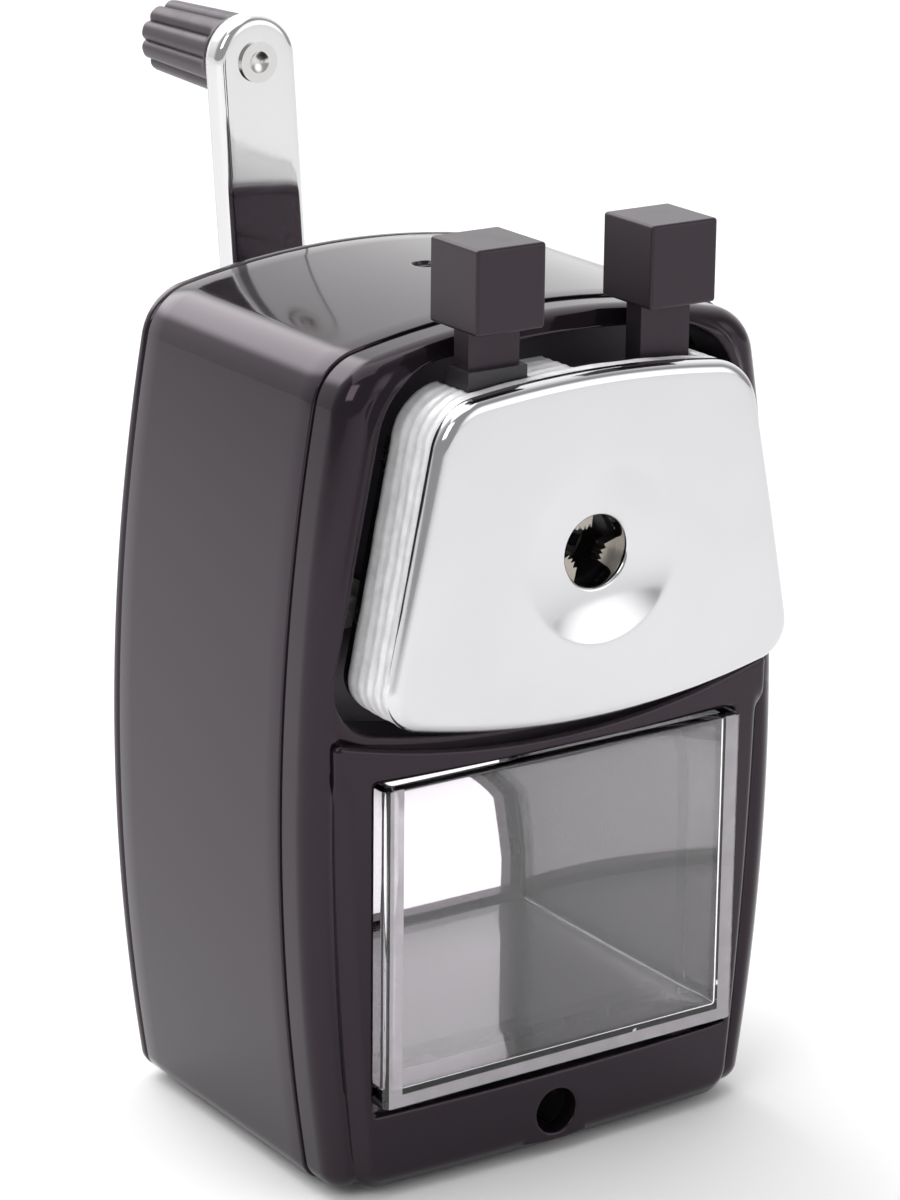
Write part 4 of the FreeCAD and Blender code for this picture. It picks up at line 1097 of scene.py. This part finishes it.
@dataclass
class FaceCover(Assembly):
    """The chromed cover: pencil hole, dish, shallow dome, rounded rim and a deep side wall."""

    rim: float = -34.2
    crown: float = 1.0
    reach: float = 38.0
    back: float = -23.3
    edge_round: float = 1.6
    wall: float = 1.3
    hole: float = 4.86
    hole_round: float = 0.45
    hole_wall: Tuple[float, ...] = (-30.6, -31.2, -31.8, -32.4)
    dish_radius: float = 12.0
    dish_depth: float = 2.1
    notch_front: float = -30.4
    notches: Tuple[Tuple[float, float], ...] = ((-18.1, -8.7), (-2.0, 17.9))
    ripple: float = 0.12
    wall_start: float = -32.6

    def dome(self, flat: Array) -> Array:
        """Depth of the face: rim - crown (1 - (d / reach)^2), sunk by the dish's soft bowl."""
        away = np.hypot(flat[..., 0], flat[..., 1] - AXIS_Z)
        y = self.rim - self.crown * (1.0 - (away / self.reach) ** 2)
        bowl = self.dish_depth * (1.0 - (away / self.dish_radius) ** 2)
        soft = 0.12
        return y + 0.5 * (bowl + np.sqrt(bowl ** 2 + soft ** 2)) - 0.5 * soft * 0.3

    def side_wall(self, points: Array, normals: Array) -> List[Array]:
        """Rings back along the wall, pressed inwards by a faint ripple, a sum of sine waves.

        Args:
            points: the cover's outline (n, 2).
            normals: its outward directions (n, 2).
        Returns:
            Rings (n, 3), front to back.
        """
        depths = np.unique(np.concatenate([np.linspace(self.rim + 1.9, self.back, 34),
                                           [self.notch_front]]))
        along = np.concatenate([[0.0], np.cumsum(np.hypot(*np.diff(points, axis=0).T))])
        rings = []
        for y in depths:
            fade = smooth(self.rim + 1.9, self.rim + 2.6, np.array(y))
            wave = (np.sin(along * 0.9 + 1.3 * np.sin(y * 1.1)) * 0.5
                    + np.sin(along * 0.37 + y * 0.8) * 0.5 + np.sin(y * 3.4 + along * 0.07))
            inward = self.ripple * fade * (wave - 2.0) / 2.0
            rings.append(at_depth(points + inward[:, None] * normals, y))
        return rings

    def build(self, bench: Bench) -> None:
        """Rings from the hole's wall out to the rim, then back along the side wall."""
        xs = sorted({x for pair in self.notches for x in pair}
                    | set(np.linspace(-21.0, 21.0, 40).round(3)), reverse=True)
        last = self.notches[-1][1]
        top = np.array([0.0] + [COVER_OUTLINE.share_at(1, x=float(x)) for x in xs if x <= last])
        top = np.unique(np.clip(top, 0.0, 0.995))
        points, normals = COVER_OUTLINE.loop(60, 20, {1: top})
        centre = np.array([0.0, AXIS_Z])
        face_edge = points - self.edge_round * normals
        angle = np.arctan2(face_edge[:, 1] - AXIS_Z, face_edge[:, 0])
        unit = circle(1.0, angle)
        apron = centre + self.dish_radius * 1.35 * unit
        rings = [at_depth(centre + self.hole * unit, y) for y in self.hole_wall]
        edge = self.hole_round
        for turn in np.linspace(0.15, 1.0, 5):
            radius = self.hole + edge * (1.0 - math.cos(turn * math.pi / 2.0))
            lift = edge * (1.0 - math.sin(turn * math.pi / 2.0))
            y = self.dome(centre + (self.hole + edge) * unit) + lift
            rings.append(at_depth(centre + radius * unit, y))
        for radius in np.concatenate([np.linspace(self.hole + 0.8, self.dish_radius - 0.9, 12),
                                      self.dish_radius + np.linspace(-0.6, 1.2, 10),
                                      [self.dish_radius * 1.2]]):
            flat = centre + radius * unit
            rings.append(at_depth(flat, self.dome(flat)))
        for share in np.linspace(0.0, 1.0, 26):
            flat = apron + (face_edge - apron) * share
            rings.append(at_depth(flat, self.dome(flat)))
        base = self.dome(face_edge)
        for turn in np.linspace(0.0, math.pi / 2.0, 9)[1:]:
            rings.append(at_depth(face_edge + self.edge_round * math.sin(turn) * normals,
                                  base + self.edge_round * (1.0 - math.cos(turn))))
        start = len(rings)
        rings = np.stack(rings + self.side_wall(points, normals))
        middle = (rings[:-1] + np.roll(rings[:-1], -1, axis=1) + rings[1:]
                  + np.roll(rings[1:], -1, axis=1)) / 4.0
        keep = np.ones(middle.shape[:2], bool)
        for low, high in self.notches:
            keep &= ~((middle[..., 1] > self.notch_front) & (middle[..., 2] > 105.0)
                      & (middle[..., 0] > low) & (middle[..., 0] < high))
        keep[:start] = True
        cover = bench.piece("cover_shell", grid(rings, wrap_columns=True, keep=keep), CHROME,
                            Rides.FEED, ["face_cover"], "cover_chrome", sharp=40.0,
                            inside=Vector((0.0, -0.020, AXIS_Z * MM)))
        # The side wall gets the satin plating finish whose pale base colour is painted reflection.
        bench.second_finish(cover, WALL_PLATING_PAINTED_REFLECTION, lambda at, normal: (
            (at[:, 1] > self.wall_start) & (np.abs(normal[:, 1]) < 0.5)
            & (np.hypot(at[:, 0], at[:, 2] - AXIS_Z) > self.dish_radius)))
        bench.thicken(cover, self.wall, even=True)


@dataclass
class Drawer(Assembly):
    """The clear drawer: a wall section carried round a rounded rectangle."""

    half: float = 28.7
    front: float = -28.5
    back: float = 22.5
    bottom: float = 13.9
    top: float = 58.8
    wall: float = 2.0
    border: float = 2.7
    fillet: float = 0.6
    lip: float = 0.3
    foot: float = 0.5
    corner_inside: float = 0.7
    corner_outside: float = 0.9
    floor_inset: float = 12.0
    gate: Point2 = (-17.5, -6.0)

    def loop(self, inset: float, corner: float, z: float, per_corner: int = 6) -> Array:
        """A rounded rectangle in plan.

        Args:
            inset: how far inside the outer wall it runs.
            corner: its corner radius.
            z: its height.
            per_corner: points on a corner.
        Returns:
            Points (n, 3).
        """
        half, y0, y1 = self.half - inset, self.front + inset, self.back - inset
        found = []
        strip = self.half - self.border
        for sx, sy, start in ((1, -1, -90), (1, 1, 0), (-1, 1, 90), (-1, -1, 180)):
            cx = sx * (half - corner)
            cy = (y1 - corner) if sy > 0 else (y0 + corner)
            turn = np.radians(start + np.linspace(0, 90, per_corner))
            found.append(np.stack([cx + corner * np.cos(turn), cy + corner * np.sin(turn),
                                   np.full(per_corner, z)], axis=1))
        inner = min(strip, half - corner - 0.05)
        found.append(np.array([[-inner, y0, z], [inner, y0, z]]))
        return np.concatenate(found)

    def build(self, bench: Bench) -> None:
        """Rings from the inner floor over the walls' rim to the outer floor."""
        w, b, t = self.wall, self.bottom, self.top
        near, far = self.corner_inside, self.corner_outside
        rings = [self.loop(self.floor_inset, near, b + w), self.loop(w + self.fillet, near, b + w)]
        rings += [self.loop(w + s, near, b + w + c) for s, c in bend(self.fillet, 5, 1)]
        rings += [self.loop(w, near, z) for z in np.linspace(b + w + 4.0, t - self.lip, 4)]
        rings += [self.loop(w - c, near, t - s) for s, c in bend(self.lip, 4, 1)]
        rings += [self.loop(s, far, t - c) for s, c in bend(self.lip, 4)]
        rings += [self.loop(0.0, far, z) for z in (t - 4.0, 40.0, b + w, b + self.foot)]
        rings += [self.loop(c, far, b + s) for s, c in bend(self.foot, 4, 1)]
        rings.append(self.loop(self.floor_inset, near, b))
        shell = grid(np.stack(rings), wrap_columns=True)
        floor = [fan(rings[0]), fan(rings[-1])]
        tray = bench.piece("drawer_tray", joined([shell] + floor), STYRENE, Rides.DRAWER,
                           ["drawer"], "clear_styrene", sharp=30.0)
        # The front border strip gets the paler edge finish: painted highlight of the clear edge.
        bench.second_finish(tray, STYRENE_EDGE_PAINTED_HIGHLIGHT, lambda at, normal: (
            (at[:, 1] < self.front + 0.1)
            & ((np.abs(at[:, 0]) > self.half - self.border) | (at[:, 2] < b + w))))
        gx, gy = self.gate
        turn = np.linspace(0.0, 2.0 * math.pi, 32, endpoint=False)
        section = [(1.9, -0.05), (1.9, 0.15), (1.75, 0.4), (1.4, 0.5), (0.9, 0.42), (0.5, 0.2),
                   (0.02, 0.15)]
        mark = [np.stack([gx + r * np.cos(turn), gy + r * np.sin(turn),
                          np.full(len(turn), b + w + h)], axis=1)
                for r, h in (*section, (0.02, -0.05))]
        bench.piece("drawer_gate_mark", grid(np.stack(mark), wrap_rows=True, wrap_columns=True),
                    STYRENE, Rides.DRAWER, slot="clear_styrene")


@dataclass
class Springs(Assembly):
    """Coil springs: a circle carried along a helix whose pitch closes up at both ends."""

    feed_radius: float = 2.2
    feed_wire: float = 0.35
    rod_x: float = 26.0
    rod_z: float = 80.0
    feed_front: float = -9.7
    feed_back: float = 19.8
    feed_travel: float = 22.0
    feed_turns: float = 11.0
    lever_radius: float = 1.4
    lever_wire: float = 0.22
    lever_turns: float = 10.0
    lever_y: float = -28.1
    lever_z: float = 104.0
    lever_left: float = -8.6
    lever_right: float = 9.2
    lever_swing: float = 18.0

    def coil(self, radius: float, wire: float, length: float, turns: float) -> Surface:
        """A coil along +Y from 0 to its length.

        The turn angle runs evenly; the way along is an even run eased at both ends, so
        the last turns lie close together.

        Args:
            radius: of the coil's centreline.
            wire: the wire's radius.
            length: overall length.
            turns: how many turns.
        Returns:
            The surface.
        """
        steps = int(turns * 22)
        share = np.linspace(0.0, 1.0, steps)
        ends = 1.0 / turns
        run = np.interp(share, [0.0, ends, 1.0 - ends, 1.0],
                        [0.0, 2.2 * wire / length, 1.0 - 2.2 * wire / length, 1.0])
        angle = share * turns * 2.0 * math.pi
        along = wire + run * (length - 2.0 * wire)
        line = np.stack([radius * np.cos(angle), along, radius * np.sin(angle)], axis=1)
        tangent = np.gradient(line, axis=0)
        tangent /= np.linalg.norm(tangent, axis=1, keepdims=True)
        out = np.stack([np.cos(angle), np.zeros(steps), np.sin(angle)], axis=1)
        side = np.cross(tangent, out)
        turn = np.linspace(0.0, 2.0 * math.pi, 10, endpoint=False)
        rings = (line[:, None] + wire * (np.cos(turn)[None, :, None] * out[:, None]
                                         + np.sin(turn)[None, :, None] * side[:, None]))
        return joined([grid(rings, wrap_columns=True), fan(rings[0]), fan(rings[-1])])

    def build(self, bench: Bench) -> None:
        """Two feed springs on the rods and the small spring between the grips."""
        length = self.feed_back - self.feed_front
        for name, side in (("left", -1.0), ("right", 1.0)):
            coil = self.coil(self.feed_radius, self.feed_wire, length, self.feed_turns)
            coil.points += np.array([side * self.rod_x, self.feed_front, self.rod_z])
            piece = bench.piece("feed_coil_" + name, coil, SPRING_WIRE, Rides.CASE,
                                ["feed_spring_" + name], "spring_wire")
            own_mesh(piece)
        length = self.lever_right - self.lever_left
        coil = self.coil(self.lever_radius, self.lever_wire, length, self.lever_turns)
        coil.points = coil.points[:, [1, 0, 2]] * np.array([1.0, -1.0, 1.0])
        coil.points += np.array([self.lever_left, self.lever_y, self.lever_z])
        piece = bench.piece("lever_coil", coil, SPRING_WIRE, Rides.FEED, ["lever_spring"],
                            "spring_wire")
        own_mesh(piece)


@dataclass
class CrankHandle(Assembly):
    """The pressed chrome arm and the fluted knob."""

    foot: Point2 = (0.0, AXIS_Z)
    head: Point2 = (-3.6, 139.4)
    half: float = 6.4
    front: float = 44.0
    depth: float = 3.4
    shoulder: float = 1.25
    wall: float = 1.15
    knob_front: float = 47.9
    knob_back: float = 68.0
    knob_radius: float = 6.0
    knob_taper: float = 0.7
    knob_recess: float = 3.3
    knob_bore: float = 1.97
    flutes: int = 10
    flute_depth: float = 0.75

    def stadium(self, inset: float, y: float, count: int = 24) -> Array:
        """A ring at an inset from the arm's outline: two half circles about foot and head.

        Args:
            inset: how far inside the outline.
            y: its depth.
            count: points on each half circle.
        Returns:
            Points (n, 3).
        """
        foot, head = np.array(self.foot), np.array(self.head)
        run = (head - foot) / np.hypot(*(head - foot))
        side = np.array([run[1], -run[0]])
        radius = self.half - inset
        turn = np.linspace(0.0, math.pi, count)[:, None]
        top = head + radius * (np.cos(turn) * side + np.sin(turn) * run)
        low = foot - radius * (np.cos(turn) * side + np.sin(turn) * run)
        gaps = np.linspace(0.0, 1.0, 30)[1:-1, None]
        left = top[-1] + (low[0] - top[-1]) * gaps
        right = low[-1] + (top[0] - low[-1]) * gaps
        return at_depth(np.concatenate([top, left, low, right]), y)

    def arm(self) -> Surface:
        """Rings from the flange's back edge over the rounded shoulder to the middle line."""
        back, front, r = self.front + self.depth, self.front, self.shoulder
        rings = [self.stadium(0.0, y) for y in np.linspace(back, front + r, 5)]
        rings += [self.stadium(c, front + s) for s, c in bend(r, 9, 1)]
        rings += [self.stadium(i, front) for i in np.linspace(r, self.half, 8)[1:]]
        return grid(np.stack(rings), wrap_columns=True)

    def knob(self) -> Surface:
        """A turned knob whose radius is cut by round flutes that fade at the arm's end."""
        turn = np.linspace(0.0, 2.0 * math.pi, 240, endpoint=False)
        y0, y1 = self.knob_front, self.knob_back
        stations = np.unique(np.concatenate([np.linspace(y0, y0 + 0.7, 6),
                                             np.linspace(y0 + 0.7, y0 + 2.6, 8),
                                             np.linspace(y0 + 2.6, y1 - 0.8, 14),
                                             np.linspace(y1 - 0.8, y1, 7)]))
        lobe = np.abs(np.cos(turn * self.flutes / 2.0 + math.pi / 2.0 * (self.flutes % 4 == 2)))
        cut = (1.0 - lobe) ** 1.6
        rings = []
        for y in stations:
            radius = self.knob_radius - self.knob_taper * (y - y0) / (y1 - y0)
            radius -= quarter_round(0.7, np.array(y - y0)) + quarter_round(0.8, np.array(y1 - y))
            r = radius - self.flute_depth * cut * smooth(0.9, 1.9, np.array(y - y0))
            rings.append(np.stack([r * np.cos(turn), np.full(len(turn), y), r * np.sin(turn)],
                                  axis=1))
        sunk, bore = self.knob_recess, self.knob_bore
        for radius, y in ((sunk + 1.0, y1), (sunk + 0.15, y1), (sunk, y1 - 0.2), (sunk, y1 - 2.3),
                          (bore, y1 - 4.1), (bore, y0)):
            rings.append(at_depth(circle(radius, turn), y))
        shape = grid(np.stack(rings), wrap_rows=True, wrap_columns=True)
        shape.points += np.array([self.head[0], 0.0, self.head[1]])
        return shape

    def build(self, bench: Bench) -> None:
        """Make arm and knob."""
        arm = bench.piece("crank_arm_pressing", self.arm(), ARM_CHROME, Rides.CRANK,
                          ["crank_arm"], "arm_chrome", sharp=50.0,
                          inside=Vector((0.0, 0.0464, 0.1135)))
        bench.thicken(arm, self.wall, even=False)
        bench.piece("knob_moulding", self.knob(), KNOB_SATIN, Rides.KNOB, ["crank_knob"],
                    "knob_black", sharp=45.0)


class CadDressing(Assembly):
    """Finishes for the CAD pieces whose own shape is already right."""

    def build(self, bench: Bench) -> None:
        """Give each listed node its finish."""
        for label, (finish, names) in CAD_FINISHES.items():
            for name in names:
                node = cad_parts[name]
                node.data.materials.clear()
                node.data.materials.append(finish.material())
            LOG.info("%s: %s on %d nodes", label, finish.name, len(names))


@dataclass(frozen=True)
class Lamp:
    """A soft square light: its place and side in metres, its power in watts."""

    name: str
    place: Tuple[float, float, float]
    side: float
    power: float


@dataclass(frozen=True)
class Patch:
    """A soft pale patch of the surroundings.

    It stands about one direction; the cosine to that direction at which it is full, and
    the one at which it has faded out, give its size.
    """

    toward: Tuple[float, float, float]
    tone: float
    full: float
    gone: float


@dataclass
class Studio(Assembly):
    """Camera, pale floor, soft surroundings and lights."""

    azimuth: float = 34.04
    elevation: float = 17.89
    roll: float = 0.61
    lens: float = 119.34
    eye: Tuple[float, float, float] = (-0.28887, -0.42758, 0.23859)
    sensor: float = 36.0
    floor_half: float = 4.0
    aim: Tuple[float, float, float] = (0.0, 0.0, 0.07)
    ambient: Colour = (0.42, 0.42, 0.43)
    patches: Tuple[Patch, ...] = (
        Patch((0.30, 0.84, 0.42), 1.4, 0.90, 0.20),
        Patch((-0.10, 0.79, 0.60), 4.5, 0.975, 0.90),
        Patch((0.53, -0.79, 0.31), 1.9, 0.985, 0.85))
    lamps: Tuple[Lamp, ...] = (
        Lamp("key", (-0.75, -0.35, 0.75), 0.5, 2.6),
        Lamp("top", (-0.15, 0.08, 1.1), 0.9, 3.4))

    def camera(self) -> None:
        """Place the camera by its angles: its axes are turned by the roll about the view."""
        az, el, ro = (math.radians(a) for a in (self.azimuth, self.elevation, self.roll))
        ahead = Vector((math.sin(az) * math.cos(el), math.cos(az) * math.cos(el), -math.sin(el)))
        right = Vector((math.cos(az), -math.sin(az), 0.0))
        up = right.cross(ahead)
        across = right * math.cos(ro) + up * math.sin(ro)
        upright = up * math.cos(ro) - right * math.sin(ro)
        data = bpy.data.cameras.new("camera")
        data.lens = self.lens
        data.sensor_width = self.sensor
        data.clip_start = 0.01
        made = bpy.data.objects.new("camera", data)
        turn = Matrix((across, upright, -ahead)).transposed().to_4x4()
        made.matrix_world = Matrix.Translation(Vector(self.eye)) @ turn
        bpy.context.scene.collection.objects.link(made)
        bpy.context.scene.camera = made

    def floor(self) -> None:
        """A flat pale floor under the object."""
        span = np.linspace(-self.floor_half, self.floor_half, 3) * 1000.0
        x, y = np.meshgrid(span, span)
        sheet = grid(np.stack([x, y, np.zeros_like(x)], axis=-1))
        mesh = bpy.data.meshes.new("floor")
        mesh.from_pydata((sheet.points * MM).tolist(), [], sheet.faces[0].tolist())
        paper = Finish("floor_paper", (0.955, 0.955, 0.955), 0.85, drift=0.01, drift_size=300.0,
                       grain_size=1.0, grain_depth=0.002)
        mesh.materials.append(paper.material())
        made = bpy.data.objects.new("floor", mesh)
        bpy.context.scene.collection.objects.link(made)

    def surroundings(self) -> None:
        """Pale surroundings with soft brighter patches behind and in front."""
        world = bpy.data.worlds.new("studio")
        bpy.context.scene.world = world
        world.use_nodes = True
        world.node_tree.nodes.clear()
        graph = Graph(world.node_tree)
        toward = graph.add("ShaderNodeTexCoord").outputs["Generated"]
        colour: object = (*self.ambient, 1.0)
        for patch in self.patches:
            facing = graph.add("ShaderNodeVectorMath", operation="DOT_PRODUCT")
            graph.feed(facing.inputs[0], toward)
            graph.feed(facing.inputs[1], Vector(patch.toward).normalized())
            colour = graph.mix(graph.spread(facing.outputs["Value"], patch.gone, patch.full),
                               colour, (patch.tone, patch.tone, patch.tone, 1.0))
        background = graph.add("ShaderNodeBackground")
        graph.feed(background.inputs["Color"], colour)
        background.inputs["Strength"].default_value = 1.0
        out = graph.add("ShaderNodeOutputWorld")
        graph.feed(out.inputs["Surface"], background.outputs[0])

    def light(self, lamp: Lamp) -> None:
        """Hang a lamp so that it looks at the object."""
        data = bpy.data.lights.new(lamp.name, "AREA")
        data.shape = "RECTANGLE"
        data.size = data.size_y = lamp.side
        data.energy = lamp.power
        made = bpy.data.objects.new(lamp.name, data)
        made.location = Vector(lamp.place)
        view = Vector(self.aim) - made.location
        made.rotation_euler = view.to_track_quat("-Z", "Y").to_euler()
        bpy.context.scene.collection.objects.link(made)

    def build(self, bench: Bench) -> None:
        """Set up everything that isn't the object."""
        self.camera()
        self.floor()
        self.surroundings()
        for lamp in self.lamps:
            self.light(lamp)
        bpy.context.scene.view_settings.view_transform = "Standard"


def main() -> None:
    """Build every assembly in order."""
    logging.basicConfig(level=logging.INFO, format="%(message)s")
    bench = Bench()
    for assembly in (Studio(), CadDressing(), Hood(), FrontFrame(), FaceCover(), Drawer(),
                     Springs(), CrankHandle()):
        assembly.build(bench)
    LOG.info("%d pieces made", len(bench.made))


if __name__ == "__main__":
    main()
